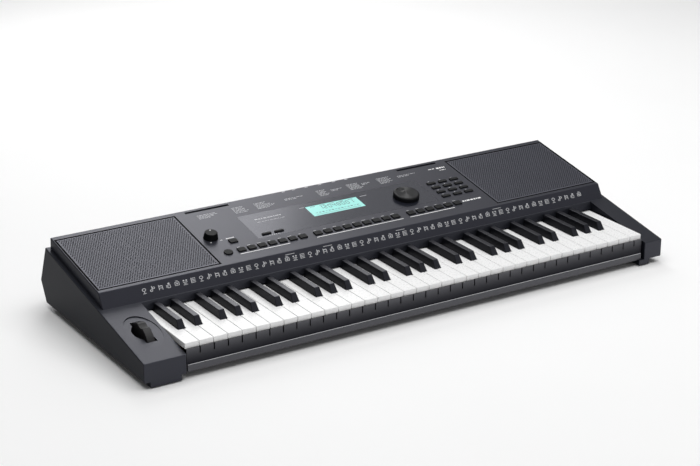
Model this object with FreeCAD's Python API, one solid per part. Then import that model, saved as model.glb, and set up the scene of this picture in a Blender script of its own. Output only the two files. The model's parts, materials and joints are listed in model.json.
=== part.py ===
import FreeCAD, Part
import math
import os

# A portable five-octave arranger keyboard, in millimetres.
# The origin is under the middle of the case: X to the player's right, Y to the back, Z up.

V = FreeCAD.Vector

# Keys: five octaves of standard width and one top C.
OCTAVES = 5
WHITES_PER_OCTAVE = 7
WHITE_PITCH = 23.5
WHITE_GAP = 0.9
LIP_HEIGHT = 8.5
KEY_ROUND = 0.8
KEY_WALL = 2.0
KEY_SKIN = 2.5
BLACK_FROM_LIP = 49.5
BLACK_HEIGHT = 12.5
BLACK_BASE = 12.0
BLACK_TOP = 9.0
BLACK_LEAN = 8.4
BLACK_ROUND = 0.9
NOTCH_GAP = 1.0
CAP_BACK_GAP = 2.2

# Key action: every key swings on one steel rod at the back of the key frame.
PIVOT_FROM_LIP = 205.0
PIVOT_DROP = 6.5
ROD_R = 1.5
ROD_SLIP = 0.05
EAR_R = 5.0
TOOTH = 1.5
TOOTH_GAP = 0.5
KEY_DIP = 10.0
DIP_SPARE = 0.6

# Case: the end blocks stand beside the keys, and the upper case is set in from their sides.
LEFT_CHEEK = 68.0
RIGHT_CHEEK = 36.0
END_GAP = 2.0
LIP_SETBACK = 9.0
PANEL_INSET = 7.0
LEDGE = 4.0
FOOT_STAND = 2.0
RUNNER_HEIGHT = 8.7
CHEEK_HEIGHT = 29.8
CHEEK_SLOPE = 10.76
KEY_ABOVE_CHEEK = 13.0
FASCIA_FROM_LIP = 139.7
FASCIA_HEIGHT = 22.7
FASCIA_LEAN = 13.8
PANEL_DEPTH = 176.8
PANEL_SLOPE = 10.26
UPPER_BACK_LEAN = 1.5
BACK_STEP = 4.0
BACK_BULGE = 26.0
BACK_FOOT_INSET = 18.0
BULGE_HEIGHT = 33.3
WALL = 2.5
SIDE_WALL = 3.0
PANEL_T = 3.5
FLOOR_T = 3.0
EDGE_ROUND = 1.5
FIT = 0.2

# Sled runners under the end blocks, and the rubber feet in them.
RUNNER_INSET_LEFT = 10.0
RUNNER_INSET_RIGHT = 25.0
RUNNER_WIDTH_LEFT = 50.0
RUNNER_WIDTH_RIGHT = 21.0
RUNNER_BACK_GAP = 12.0
FOOT_R = 7.0
FOOT_SEAT = 2.5
FOOT_INSET_Y = 34.0

# Front rail below the keys, and the slip that stands in a groove of the rail, close in front of the key lips.
RAIL_SETBACK = 3.9
RAIL_HEIGHT = 10.8
RAIL_DEPTH = 20.1
RAIL_END_GAP = 3.0
SLIP_T = 2.0
SLIP_GAP = 1.2
SLIP_OVER = 0.2
SLIP_SEAT = 1.2
SLIT_FIRST = 23.1
SLIT_COUNT = 36
SLIT_PITCH = 23.03
SLIT_WIDTH = 2.0
SLIT_DEPTH = 10.0

# Key cover strip under the fascia.
STRIP_PROUD = 2.5
STRIP_CLEAR = 2.5
STRIP_T = 3.0
STRIP_LEAN = 3.0

# Panel controls, laid out by X and by the distance up the panel from its front edge. The layout ends
# KNOB_TO_GRILLE outside the knob and SLOT_TO_EDGE behind the slots, and spreads with the room on the panel.
KNOB_TO_GRILLE = 9.0
SLOT_TO_EDGE = 8.8
GRILLE_WIDTH = 207.5
GRILLE_EDGE = 2.0
GRILLE_FRONT = 6.0
GRILLE_DEPTH = 161.0
GRILLE_T = 1.5
GRILLE_GAP = 0.9
DISPLAY_LEFT = -170.0
DISPLAY_RIGHT = 172.0
DISPLAY_FRONT = 52.0
DISPLAY_BACK = 127.0
DISPLAY_T = 1.5
LCD_X = -1.3
LCD_S = 98.3
LCD_WIDTH = 97.5
LCD_DEPTH = 32.4
LCD_FRAME = 4.0
LCD_SUNK = 0.4
ROW_S = 32.0
BUTTON_PITCH = 18.4
BUTTON_WIDTH = 13.5
BUTTON_DEPTH = 10.5
BUTTON_RISE = 2.0
BUTTON_GAP = 0.3
BUTTON_TRAVEL = 1.2
BUTTON_ROUND = 0.6
FLANGE_T = 1.2
FLANGE_EDGE = 1.0
STEM = 4.0
STEM_DROP = 7.0
LEFT_ROW_X = -156.7
LEFT_ROW_COUNT = 7
MIDDLE_ROW_X = 0.0
MIDDLE_ROW_COUNT = 9
RIGHT_ROW_X = 150.0
RIGHT_ROW_COUNT = 6
SQUARE_X = -211.5
SQUARE_S = 60.7
ROUND_X = -235.0
ROUND_S = 32.5
ROUND_R = 7.3
PAIR_X = -139.6
PAIR_S = 61.5
PAIR_PITCH = 22.8
PAIR_WIDTH = 16.0
PAIR_DEPTH = 4.5
KEYPAD_X = 215.5
KEYPAD_S = 83.0
KEYPAD_PITCH_X = 23.0
KEYPAD_PITCH_S = 15.3
KEYPAD_COLUMNS = 3
KEYPAD_ROWS = 4
KEYPAD_WIDTH = 16.0
KEYPAD_DEPTH = 6.0
SLOT_X = 202.5
SLOT_S = 168.0
SLOT_LENGTH = 79.0
SLOT_WIDTH = 5.0
SLOT_DEPTH = 14.0

# Turning controls on the panel.
KNOB_X = -239.5
KNOB_S = 83.0
KNOB_BASE_R = 12.0
KNOB_TOP_R = 10.0
KNOB_HEIGHT = 10.0
KNOB_ROUND = 1.0
DIAL_X = 127.0
DIAL_S = 83.0
DIAL_R = 22.0
DIAL_HEIGHT = 8.0
DIAL_ROUND = 3.0
DIMPLE_OFFSET = 12.5
DIMPLE_R = 14.0
DIMPLE_DEPTH = 2.0
DIMPLE_TURN = 110.0
TURN_GAP = 0.4
SHAFT_R = 3.0
SHAFT_SLIP = 0.05
SHAFT_DROP = 8.5
SHAFT_HOLE_GAP = 1.5
SENSOR_SIZE = 17.0
SENSOR_HEIGHT = 5.8

# Boards and their screws.
BOARD_T = 1.6
BOARD_DROP = 10.0
PANEL_BOARD_MARGIN = 15.0
POST_R = 3.5
POST_S = (47.0, 118.0)
POST_X = (-228.0, -85.0, 90.0, 247.0)
SCREW_R = 1.2
SCREW_HEAD_R = 2.6
SCREW_HEAD = 2.0
SCREW_BITE = 5.0
PILOT_GAP = 0.05
PASS_GAP = 0.3
CASE_SCREW_R = 1.75
CASE_SCREW_HEAD_R = 3.5
CASE_SCREW_HEAD = 2.4
CASE_SCREW_BITE = 6.0
PAD_R = 3.2
PAD_SPARE = 0.3

# Pitch wheel on the left cheek, placed by the distance up the cheek from its front edge.
WHEEL_X = -439.5
WHEEL_S = 77.5
WHEEL_R = 34.0
WHEEL_PROUD = 11.0
WHEEL_WIDTH = 12.5
WHEEL_HUB_R = 12.0
WHEEL_SWING = 30.0
WHEEL_SPARE = 2.5
WHEEL_ROUND = 1.2
THUMB_R = 11.0
THUMB_DEPTH = 3.0
WELL_WIDTH = 17.5
WELL_LENGTH = 58.0
SCOOP_REACH = 8.0
SCOOP_DEPTH = 7.0
DISH_WIDTH = 51.0
DISH_LENGTH = 86.0
DISH_DEPTH = 1.4
AXLE_R = 2.5
AXLE_SLIP = 0.05
AXLE_LENGTH = 34.0
BRACKET_T = 3.0
BRACKET_GAP = 3.2
BRACKET_WIDTH = 16.0
WHEEL_SENSOR_T = 9.0

# Loudspeakers under the grilles.
SPEAKER_R = 54.0
SPEAKER_OPENING_R = 46.0
SPEAKER_DEPTH = 25.5
BASKET_FLANGE = 2.0
BASKET_WALL = 1.5
BASKET_BACK_R = 34.0
CONE_T = 0.8
CONE_GAP = 0.3
DUST_CAP_R = 13.0
CONE_DEPTH = 17.0
MAGNET_R = 28.0
MAGNET_HEIGHT = 14.0
SPEAKER_SCREW_PCD = 101.5

# Parts of the key frame and what it carries, measured back from the key lips.
FRAME_T = 3.0
FELT_FROM_LIP = 26.0
FELT_WIDTH = 14.0
FELT_T = 3.0
CONTACT_FROM_LIP = 75.0
CONTACT_WIDTH = 60.0
CONTACT_HEIGHT = 8.0
RIB = 4.0
CONTACT_BASE_T = 1.4
DOME_R = 4.0
DOME_TOP_R = 3.0
SPRING_FROM_PIVOT = 44.0
SPRING_SEAT = 8.0
SPRING_REACH = 26.0
SPRING_WIDTH = 5.0
SPRING_T = 0.5
SPRING_RISE = 5.0
COMB_DEPTH = 16.0
COMB_RISE = 6.0

# Rear sockets in a recess of the back wall.
RECESS_LEFT = 30.0
RECESS_WIDTH = 240.0
RECESS_LOW = 48.0
RECESS_HEIGHT = 34.0
RECESS_INSET = 20.0
SOCKET_Z = 65.0
PHONES_X = 70.0
PEDAL_X = 120.0
USB_X = 170.0
DC_X = 225.0
JACK_R = 3.2
JACK_DEPTH = 20.0
JACK_BODY = 14.0
NOSE_R = 4.5
NOSE_PROUD = 1.0
DC_R = 2.8
DC_DEPTH = 9.0
DC_PIN_R = 1.0
USB_WIDTH = 8.5
USB_HEIGHT = 7.8
USB_SHELL = 1.2
USB_DEPTH = 9.0
MAIN_BOARD_X = (20.0, 280.0)
MAIN_BOARD_DEPTH = 80.0
MAIN_BOARD_MARGIN = 8.0
HEADER = (36.0, 6.0, 8.0)
RIBBON_X = 150.0
RIBBON_WIDTH = 30.0
RIBBON_T = 0.9
RIBBON_BULGE = 4.0

# Sizes and places that follow from the ones above.
WHITES = WHITES_PER_OCTAVE * OCTAVES + 1
OCTAVE = WHITES_PER_OCTAVE * WHITE_PITCH
CASE_WIDTH = LEFT_CHEEK + RIGHT_CHEEK + 2 * END_GAP + WHITES * WHITE_PITCH
CASE_LEFT = -CASE_WIDTH / 2
CASE_RIGHT = CASE_WIDTH / 2
CHEEK_IN_LEFT = CASE_LEFT + LEFT_CHEEK
CHEEK_IN_RIGHT = CASE_RIGHT - RIGHT_CHEEK
KEYS_LEFT = CHEEK_IN_LEFT + END_GAP
KEYS_RIGHT = CHEEK_IN_RIGHT - END_GAP
PANEL_RUN = PANEL_DEPTH * math.cos(math.radians(PANEL_SLOPE))
PANEL_RISE = PANEL_DEPTH * math.sin(math.radians(PANEL_SLOPE))
CASE_DEPTH = (LIP_SETBACK + FASCIA_FROM_LIP + FASCIA_LEAN + PANEL_RUN
              + UPPER_BACK_LEAN + BACK_STEP + BACK_BULGE)
FRONT_Y = -CASE_DEPTH / 2
BACK_Y = CASE_DEPTH / 2
SKIRT_Z = FOOT_STAND + RUNNER_HEIGHT
CHEEK_Z = SKIRT_Z + CHEEK_HEIGHT
KEY_TOP_Z = CHEEK_Z + KEY_ABOVE_CHEEK
KEY_BOTTOM_Z = KEY_TOP_Z - LIP_HEIGHT
KEY_FRONT_Y = FRONT_Y + LIP_SETBACK
BLACK_FRONT_Y = KEY_FRONT_Y + BLACK_FROM_LIP
NOTCH_Y = BLACK_FRONT_Y - NOTCH_GAP
PIVOT_Y = KEY_FRONT_Y + PIVOT_FROM_LIP
PIVOT_Z = KEY_TOP_Z - PIVOT_DROP
FASCIA_Y = KEY_FRONT_Y + FASCIA_FROM_LIP
PANEL_FRONT_Y = FASCIA_Y + FASCIA_LEAN
UPPER_BACK_Y = PANEL_FRONT_Y + PANEL_RUN + UPPER_BACK_LEAN
BACK_TOP_Y = UPPER_BACK_Y + BACK_STEP
BACK_FOOT_Y = BACK_Y - BACK_FOOT_INSET
BULGE_Z = SKIRT_Z + BULGE_HEIGHT
FLOOR_Z = SKIRT_Z + FLOOR_T
FLOOR_FRONT_Y = FRONT_Y + RAIL_SETBACK + RAIL_DEPTH
CHEEK_BACK_Y = PANEL_FRONT_Y
PANEL_HALF = CASE_WIDTH / 2 - PANEL_INSET
CHANNEL = PANEL_INSET + LEDGE
RECESS_Y = BACK_Y - RECESS_INSET
MAIN_BOARD_Z = SOCKET_Z - JACK_BODY / 2 - BOARD_T
FRAME_TOP_Z = FLOOR_Z + FRAME_T
TAIL_LOW = PIVOT_Z - EAR_R
TAIL_HIGH = PIVOT_Z + EAR_R


def seat_z(y):
    """Height of the sloped line along the cheek tops, on which the upper case sits."""
    return CHEEK_Z + (y - FRONT_Y) * math.tan(math.radians(CHEEK_SLOPE))


def dip_at(y):
    """How far a fully pressed key has moved down at a given depth."""
    return KEY_DIP * (PIVOT_Y - y) / PIVOT_FROM_LIP


FASCIA_FOOT_Z = seat_z(FASCIA_Y)
PANEL_FRONT_Z = FASCIA_FOOT_Z + FASCIA_HEIGHT
STRIP_FOOT_Y = FASCIA_Y - STRIP_PROUD - STRIP_LEAN
CAP_BACK_Y = STRIP_FOOT_Y - CAP_BACK_GAP
HEAD_BACK_Y = STRIP_FOOT_Y + STRIP_T

# The sloped panel and the cheek tops have frames of their own: X, distance up the slope, height above it.
PANEL_AT = FreeCAD.Placement(V(0, PANEL_FRONT_Y, PANEL_FRONT_Z), FreeCAD.Rotation(V(1, 0, 0), PANEL_SLOPE))
CHEEK_AT = FreeCAD.Placement(V(0, FRONT_Y, CHEEK_Z), FreeCAD.Rotation(V(1, 0, 0), CHEEK_SLOPE))


def box(x0, x1, y0, y1, z0, z1):
    return Part.makeBox(x1 - x0, y1 - y0, z1 - z0, V(x0, y0, z0))


def centred_box(x, y, width, depth, z0, z1):
    return box(x - width / 2, x + width / 2, y - depth / 2, y + depth / 2, z0, z1)


def rod_x(x0, x1, y, z, r):
    return Part.makeCylinder(r, x1 - x0, V(x0, y, z), V(1, 0, 0))


def rod_y(x, y0, y1, z, r):
    return Part.makeCylinder(r, y1 - y0, V(x, y0, z), V(0, 1, 0))


def rod_z(x, y, z0, z1, r):
    return Part.makeCylinder(r, z1 - z0, V(x, y, z0))


def prism_x(outline, x0, x1):
    """A closed outline of (y, z) corners, drawn along X."""
    corners = [V(x0, y, z) for y, z in outline]
    return Part.Face(Part.makePolygon(corners + corners[:1])).extrude(V(x1 - x0, 0, 0))


def prism_z(outline, z0, z1):
    """A closed outline of (x, y) corners, drawn upward."""
    corners = [V(x, y, z0) for x, y in outline]
    return Part.Face(Part.makePolygon(corners + corners[:1])).extrude(V(0, 0, z1 - z0))


def turned(outline, x, y):
    """A closed outline of (radius, z) corners, turned about an upright axis."""
    corners = [V(x + r, y, z) for r, z in outline]
    return Part.Face(Part.makePolygon(corners + corners[:1])).revolve(V(x, y, 0), V(0, 0, 1), 360)


def inset(outline, walls):
    """Corners of a convex outline after each side has moved inward by its own wall."""
    sides = list(zip(outline, outline[1:] + outline[:1]))
    area = sum(a[0] * b[1] - b[0] * a[1] for a, b in sides)
    turn = math.copysign(1, area)
    lines = []
    for (a, b), wall in zip(sides, walls):
        length = math.hypot(b[0] - a[0], b[1] - a[1])
        normal = (-turn * (b[1] - a[1]) / length, turn * (b[0] - a[0]) / length)
        lines.append((normal, normal[0] * a[0] + normal[1] * a[1] + wall))
    corners = []
    for (n, d), (m, e) in zip(lines[-1:] + lines[:-1], lines):
        det = n[0] * m[1] - n[1] * m[0]
        corners.append(((d * m[1] - e * n[1]) / det, (e * n[0] - d * m[0]) / det))
    return corners


def frustum(low, high, z0, z1):
    """A block with flat sides between two (x0, x1, y0, y1) rectangles."""
    def ring(rect, z):
        x0, x1, y0, y1 = rect
        return [V(x0, y0, z), V(x1, y0, z), V(x1, y1, z), V(x0, y1, z)]
    a = ring(low, z0)
    b = ring(high, z1)
    loops = [a[::-1], b] + [[a[i], a[(i + 1) % 4], b[(i + 1) % 4], b[i]] for i in range(4)]
    faces = [Part.Face(Part.makePolygon(loop + loop[:1])) for loop in loops]
    return Part.Solid(Part.Shell(faces))


def placed(shape, placement):
    moved = shape.copy()
    moved.Placement = placement.multiply(shape.Placement)
    return moved


def on_panel(shape):
    return placed(shape, PANEL_AT)


def on_cheek(shape):
    return placed(shape, CHEEK_AT)


def moved_x(shape, dx):
    moved = shape.copy()
    moved.translate(V(dx, 0, 0))
    return moved


def edges_where(shape, test):
    """Edges whose middle point passes a test."""
    chosen = []
    for edge in shape.Edges:
        middle = edge.valueAt((edge.FirstParameter + edge.LastParameter) / 2)
        if test(middle):
            chosen.append(edge)
    return chosen


def near(a, b):
    return abs(a - b) < 0.01


# Places of the controls, spread over the room between the grilles and over the panel's depth.
SPREAD_X = (PANEL_HALF - GRILLE_EDGE - GRILLE_WIDTH) / (KNOB_TO_GRILLE + KNOB_BASE_R - KNOB_X)
SPREAD_S = PANEL_DEPTH / (SLOT_S + SLOT_TO_EDGE)


def spot(x, s):
    """A place of the layout, moved with the room that the panel has."""
    return x * SPREAD_X, s * SPREAD_S


def button_row(centre, count):
    return [spot(centre + (i - (count - 1) / 2) * BUTTON_PITCH, ROW_S) for i in range(count)]


LEFT_ROW = button_row(LEFT_ROW_X, LEFT_ROW_COUNT)
MIDDLE_ROW = button_row(MIDDLE_ROW_X, MIDDLE_ROW_COUNT)
RIGHT_ROW = button_row(RIGHT_ROW_X, RIGHT_ROW_COUNT)
PAIR = [spot(PAIR_X + side * PAIR_PITCH / 2, PAIR_S) for side in (-1, 1)]
KEYPAD = [spot(KEYPAD_X + (i - (KEYPAD_COLUMNS - 1) / 2) * KEYPAD_PITCH_X,
               KEYPAD_S + (j - (KEYPAD_ROWS - 1) / 2) * KEYPAD_PITCH_S)
          for j in range(KEYPAD_ROWS) for i in range(KEYPAD_COLUMNS)]
SQUARE = spot(SQUARE_X, SQUARE_S)
ROUND = spot(ROUND_X, ROUND_S)
KNOB = spot(KNOB_X, KNOB_S)
DIAL = spot(DIAL_X, DIAL_S)
LCD = spot(LCD_X, LCD_S)
SLOTS = [spot(side * SLOT_X, SLOT_S) for side in (-1, 1)]
POSTS = [spot(x, s) for s in POST_S for x in POST_X]
RECTANGLES = ([(x, s, BUTTON_WIDTH, BUTTON_DEPTH) for x, s in LEFT_ROW + MIDDLE_ROW + RIGHT_ROW + [SQUARE]]
              + [(x, s, PAIR_WIDTH, PAIR_DEPTH) for x, s in PAIR]
              + [(x, s, KEYPAD_WIDTH, KEYPAD_DEPTH) for x, s in KEYPAD])
SPEAKER_X = PANEL_HALF - GRILLE_EDGE - GRILLE_WIDTH / 2
SPEAKER_S = (GRILLE_FRONT + GRILLE_DEPTH / 2) * SPREAD_S


# Upper case: the panel, the fascia and the shell behind them.
def upper_outline():
    return [(FASCIA_Y, FASCIA_FOOT_Z), (PANEL_FRONT_Y, PANEL_FRONT_Z),
            (PANEL_FRONT_Y + PANEL_RUN, PANEL_FRONT_Z + PANEL_RISE), (UPPER_BACK_Y, seat_z(UPPER_BACK_Y))]


def upper_shell():
    outline = upper_outline()
    outer = prism_x(outline, -PANEL_HALF, PANEL_HALF)
    free = edges_where(outer, lambda p: p.z > seat_z(p.y) + EDGE_ROUND)
    outer = outer.makeFillet(EDGE_ROUND, free)
    hollow = inset(outline, [WALL, PANEL_T, WALL, -WALL])
    return outer.cut(prism_x(hollow, -PANEL_HALF + WALL, PANEL_HALF - WALL))


def slot_block(x, s, grow, low):
    """The upright space of a music-rest slot, or the pocket wall round it."""
    at = PANEL_AT.multVec(V(x, s, 0))
    return centred_box(x, at.y, SLOT_LENGTH + 2 * grow, SLOT_WIDTH + 2 * grow, at.z - low, at.z - PANEL_T / 2)


def grille_plan(side, gap):
    x0 = side * SPEAKER_X - GRILLE_WIDTH / 2 + gap
    s0 = GRILLE_FRONT * SPREAD_S + gap
    s1 = (GRILLE_FRONT + GRILLE_DEPTH) * SPREAD_S - gap
    return x0, x0 + GRILLE_WIDTH - 2 * gap, s0, s1


def display_plate(gap, low, high):
    """The display panel's outline, less a gap on every side."""
    left, front = spot(DISPLAY_LEFT, DISPLAY_FRONT)
    right, back = spot(DISPLAY_RIGHT, DISPLAY_BACK)
    return box(left + gap, right - gap, front + gap, back - gap, low, high)


def lcd_window(gap, low, high):
    return centred_box(*LCD, LCD_WIDTH + 2 * gap, LCD_DEPTH + 2 * gap, low, high)


def upper_case():
    shell = upper_shell()
    posts = [on_panel(rod_z(x, s, -BOARD_DROP, -PANEL_T / 2, POST_R)) for x, s in POSTS]
    pockets = [slot_block(x, s, WALL, SLOT_DEPTH + WALL) for x, s in SLOTS]
    shell = shell.fuse(posts + pockets)
    cuts = []
    for side in (-1, 1):
        x0, x1, s0, s1 = grille_plan(side, 0)
        cuts.append(box(x0, x1, s0, s1, -GRILLE_T, PANEL_T))
        cuts.append(rod_z(side * SPEAKER_X, SPEAKER_S, -2 * PANEL_T, PANEL_T, SPEAKER_OPENING_R))
        for x, s in speaker_screw_places(side):
            cuts.append(rod_z(x, s, -PANEL_T - 1, -GRILLE_T, SCREW_R + PILOT_GAP))
    cuts.append(display_plate(0, -DISPLAY_T, PANEL_T))
    cuts.append(lcd_window(BUTTON_GAP, -2 * PANEL_T, PANEL_T))
    for x, s, width, depth in RECTANGLES:
        cuts.append(centred_box(x, s, width + 2 * BUTTON_GAP, depth + 2 * BUTTON_GAP, -2 * PANEL_T, PANEL_T))
    cuts.append(rod_z(*ROUND, -2 * PANEL_T, PANEL_T, ROUND_R + BUTTON_GAP))
    for x, s in (KNOB, DIAL):
        cuts.append(rod_z(x, s, -2 * PANEL_T, PANEL_T, SHAFT_R + SHAFT_HOLE_GAP))
    for x, s in POSTS:
        cuts.append(rod_z(x, s, -BOARD_DROP - 1, -BOARD_DROP + SCREW_BITE, SCREW_R + PILOT_GAP))
    cuts = [on_panel(cut) for cut in cuts]
    for x, s in SLOTS:
        slot = slot_block(x, s, 0, SLOT_DEPTH)
        cuts.append(slot.fuse(placed(slot, FreeCAD.Placement(V(0, 0, 2 * PANEL_T), FreeCAD.Rotation()))))
    return shell.cut(cuts)


def grille(side):
    x0, x1, s0, s1 = grille_plan(side, GRILLE_GAP)
    return on_panel(box(x0, x1, s0, s1, -GRILLE_T, 0))


def display_window():
    plate = display_plate(FIT, -DISPLAY_T, 0)
    cuts = [lcd_window(BUTTON_GAP, -2 * DISPLAY_T, DISPLAY_T)]
    for x, s in PAIR:
        cuts.append(centred_box(x, s, PAIR_WIDTH + 2 * BUTTON_GAP, PAIR_DEPTH + 2 * BUTTON_GAP,
                                -2 * DISPLAY_T, DISPLAY_T))
    cuts.append(rod_z(*DIAL, -2 * DISPLAY_T, DISPLAY_T, SHAFT_R + SHAFT_HOLE_GAP))
    return on_panel(plate.cut(cuts))


def lcd_module():
    frame = lcd_window(LCD_FRAME, -BOARD_DROP, -PANEL_T - FIT)
    return on_panel(frame.fuse(lcd_window(0, -PANEL_T - FIT, -LCD_SUNK)))


# Key cover strip: a bar between the cheeks, standing proud of the fascia's foot.
def key_cover_strip():
    foot_z = KEY_TOP_Z + STRIP_CLEAR
    ledge_y = FASCIA_Y - STRIP_PROUD
    outline = [(STRIP_FOOT_Y, foot_z), (ledge_y, seat_z(ledge_y)),
               (FASCIA_Y + WALL, seat_z(FASCIA_Y + WALL)), (STRIP_FOOT_Y + STRIP_T, foot_z)]
    return prism_x(outline, CHEEK_IN_LEFT + FIT, CHEEK_IN_RIGHT - FIT)


# End blocks: a side channel the full depth of the case, a hollow cheek beside the keys and a runner below.
def side_outline():
    return [(FRONT_Y, SKIRT_Z), (FRONT_Y, CHEEK_Z), (BACK_TOP_Y, seat_z(BACK_TOP_Y)),
            (BACK_Y, BULGE_Z), (BACK_FOOT_Y, SKIRT_Z)]


def cheek_outline(back):
    return [(FRONT_Y, SKIRT_Z), (FRONT_Y, CHEEK_Z), (back, seat_z(back)), (back, SKIRT_Z)]


def runner_span(side):
    """X limits of a runner: side -1 is the left one."""
    if side < 0:
        outer = CASE_LEFT + RUNNER_INSET_LEFT
        return outer, outer + RUNNER_WIDTH_LEFT
    outer = CASE_RIGHT - RUNNER_INSET_RIGHT
    return outer - RUNNER_WIDTH_RIGHT, outer


def runner_middle(side):
    x0, x1 = runner_span(side)
    return (x0 + x1) / 2


def foot_places():
    return [(runner_middle(side), y) for side in (-1, 1)
            for y in (FRONT_Y + FOOT_INSET_Y, BACK_FOOT_Y - RUNNER_BACK_GAP - FOOT_INSET_Y)]


def case_screw_places():
    first = COMB_Y + COMB_DEPTH + 2 * CASE_SCREW_HEAD_R
    last = BACK_FOOT_Y - 2 * RUNNER_BACK_GAP
    return [(runner_middle(side), first + i * (last - first) / 2) for side in (-1, 1) for i in range(3)]


def end_block(side, cheek_width):
    outer_x = side * CASE_WIDTH / 2
    span = sorted((outer_x, outer_x - side * CHANNEL))
    cheek_span = sorted((outer_x, outer_x - side * cheek_width))
    block = prism_x(side_outline(), *span).fuse(prism_x(cheek_outline(CHEEK_BACK_Y), *cheek_span))
    block = block.removeSplitter()
    def outer_edge(p):
        return near(p.x, outer_x) or near(p.y, FRONT_Y) and p.z > SKIRT_Z + EDGE_ROUND
    block = block.makeFillet(EDGE_ROUND, edges_where(block, outer_edge))
    x0, x1 = runner_span(side)
    block = block.fuse(box(x0, x1, FRONT_Y, BACK_FOOT_Y - RUNNER_BACK_GAP, FOOT_STAND, SKIRT_Z))
    channel = inset(side_outline(), [SIDE_WALL] * 5)
    channel_span = sorted((outer_x - side * SIDE_WALL, outer_x - side * (CHANNEL + 1)))
    cheek_room = inset(cheek_outline(CHEEK_BACK_Y), [SIDE_WALL, SIDE_WALL, -WALL, SIDE_WALL])
    room_span = sorted((outer_x - side * SIDE_WALL, outer_x - side * (cheek_width - WALL)))
    cuts = [prism_x(channel, *channel_span), prism_x(cheek_room, *room_span)]
    for x, y in foot_places():
        cuts.append(rod_z(x, y, 0, FOOT_STAND + FOOT_SEAT, FOOT_R + FIT))
    for x, y in case_screw_places():
        cuts.append(rod_z(x, y, SKIRT_Z - CASE_SCREW_BITE, FLOOR_Z, CASE_SCREW_R + PILOT_GAP))
    return block.cut(cuts)


def wheel_axis():
    """Point on the pitch wheel's axle, below the cheek's top."""
    return CHEEK_AT.multVec(V(WHEEL_X, WHEEL_S, WHEEL_PROUD - WHEEL_R))


def left_end_block():
    block = end_block(-1, LEFT_CHEEK)
    dish = Part.Ellipse(V(0, 0, 0), DISH_LENGTH / 2, DISH_WIDTH / 2).toShape()
    dish = Part.Face(Part.Wire([dish])).extrude(V(0, 0, SIDE_WALL))
    dish.rotate(V(0, 0, 0), V(0, 0, 1), 90)
    dish.rotate(V(0, 0, 0), V(1, 0, 0), -math.degrees(math.atan2(DISH_DEPTH, DISH_LENGTH)))
    dish.translate(V(WHEEL_X, WHEEL_S, -DISH_DEPTH / 2))
    well = centred_box(WHEEL_X, WHEEL_S, WELL_WIDTH, WELL_LENGTH, -2 * SIDE_WALL, SIDE_WALL)
    axis = wheel_axis()
    depth = WHEEL_R - WHEEL_PROUD
    edge = WHEEL_X - WELL_WIDTH / 2
    scoop = Part.makeCone(depth, depth + SCOOP_DEPTH, SCOOP_REACH,
                          V(edge - SCOOP_REACH, axis.y, axis.z), V(1, 0, 0))
    mouth = centred_box(edge, WHEEL_S, 2 * SCOOP_REACH, WELL_LENGTH, -SIDE_WALL, SIDE_WALL)
    scoop = scoop.common(on_cheek(mouth))
    return block.cut([on_cheek(dish), on_cheek(well), scoop])


# Bottom case: the floor between the end blocks, and the back wall with its socket recess.
def bottom_case():
    x0 = CASE_LEFT + CHANNEL + FIT
    x1 = CASE_RIGHT - CHANNEL - FIT
    front0 = CHEEK_IN_LEFT + FIT
    front1 = CHEEK_IN_RIGHT - FIT
    step_y = CHEEK_BACK_Y + FIT
    floor = prism_z([(front0, FLOOR_FRONT_Y), (front1, FLOOR_FRONT_Y), (front1, step_y), (x1, step_y),
                     (x1, BACK_FOOT_Y), (x0, BACK_FOOT_Y), (x0, step_y), (front0, step_y)], SKIRT_Z, FLOOR_Z)
    middle = (BACK_FOOT_Y + FLOOR_FRONT_Y) / 2
    hull = [(middle, SKIRT_Z), (middle, seat_z(middle)), (BACK_TOP_Y, seat_z(BACK_TOP_Y)),
            (BACK_Y, BULGE_Z), (BACK_FOOT_Y, SKIRT_Z)]
    wall = prism_x(hull, x0, x1).cut(prism_x(inset(hull, [-WALL, WALL, WALL, WALL, WALL]), x0, x1))
    wall = wall.common(box(x0, x1, UPPER_BACK_Y - 2 * BACK_STEP, BACK_Y, SKIRT_Z, PANEL_FRONT_Z + PANEL_RISE))
    recess = box(RECESS_LEFT, RECESS_LEFT + RECESS_WIDTH, RECESS_Y, BACK_Y + 1,
                 RECESS_LOW, RECESS_LOW + RECESS_HEIGHT)
    frame = box(RECESS_LEFT - WALL, RECESS_LEFT + RECESS_WIDTH + WALL, RECESS_Y - WALL, BACK_Y + 1,
                RECESS_LOW - WALL, RECESS_LOW + RECESS_HEIGHT + WALL).common(prism_x(hull, x0, x1))
    posts = [rod_z(x, y, FLOOR_Z - FLOOR_T / 2, MAIN_BOARD_Z, POST_R) for x, y in main_board_screw_places()]
    cuts = [recess]
    for x in (PHONES_X, PEDAL_X, DC_X):
        cuts.append(rod_y(x, RECESS_Y - 2 * WALL, RECESS_Y + 1, SOCKET_Z, NOSE_R + FIT))
    cuts.append(usb_nose(FIT))
    for x, y in case_screw_places():
        cuts.append(rod_z(x, y, SKIRT_Z - 1, FLOOR_Z + 1, CASE_SCREW_R + PASS_GAP))
    for x, y in keybed_screw_places():
        cuts.append(rod_z(x, y, SKIRT_Z - 1, FLOOR_Z + 1, CASE_SCREW_R + PILOT_GAP))
    for x, y in main_board_screw_places():
        cuts.append(rod_z(x, y, MAIN_BOARD_Z - SCREW_BITE, MAIN_BOARD_Z + 1, SCREW_R + PILOT_GAP))
    return floor.fuse([wall, frame] + posts).cut(cuts)


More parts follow.
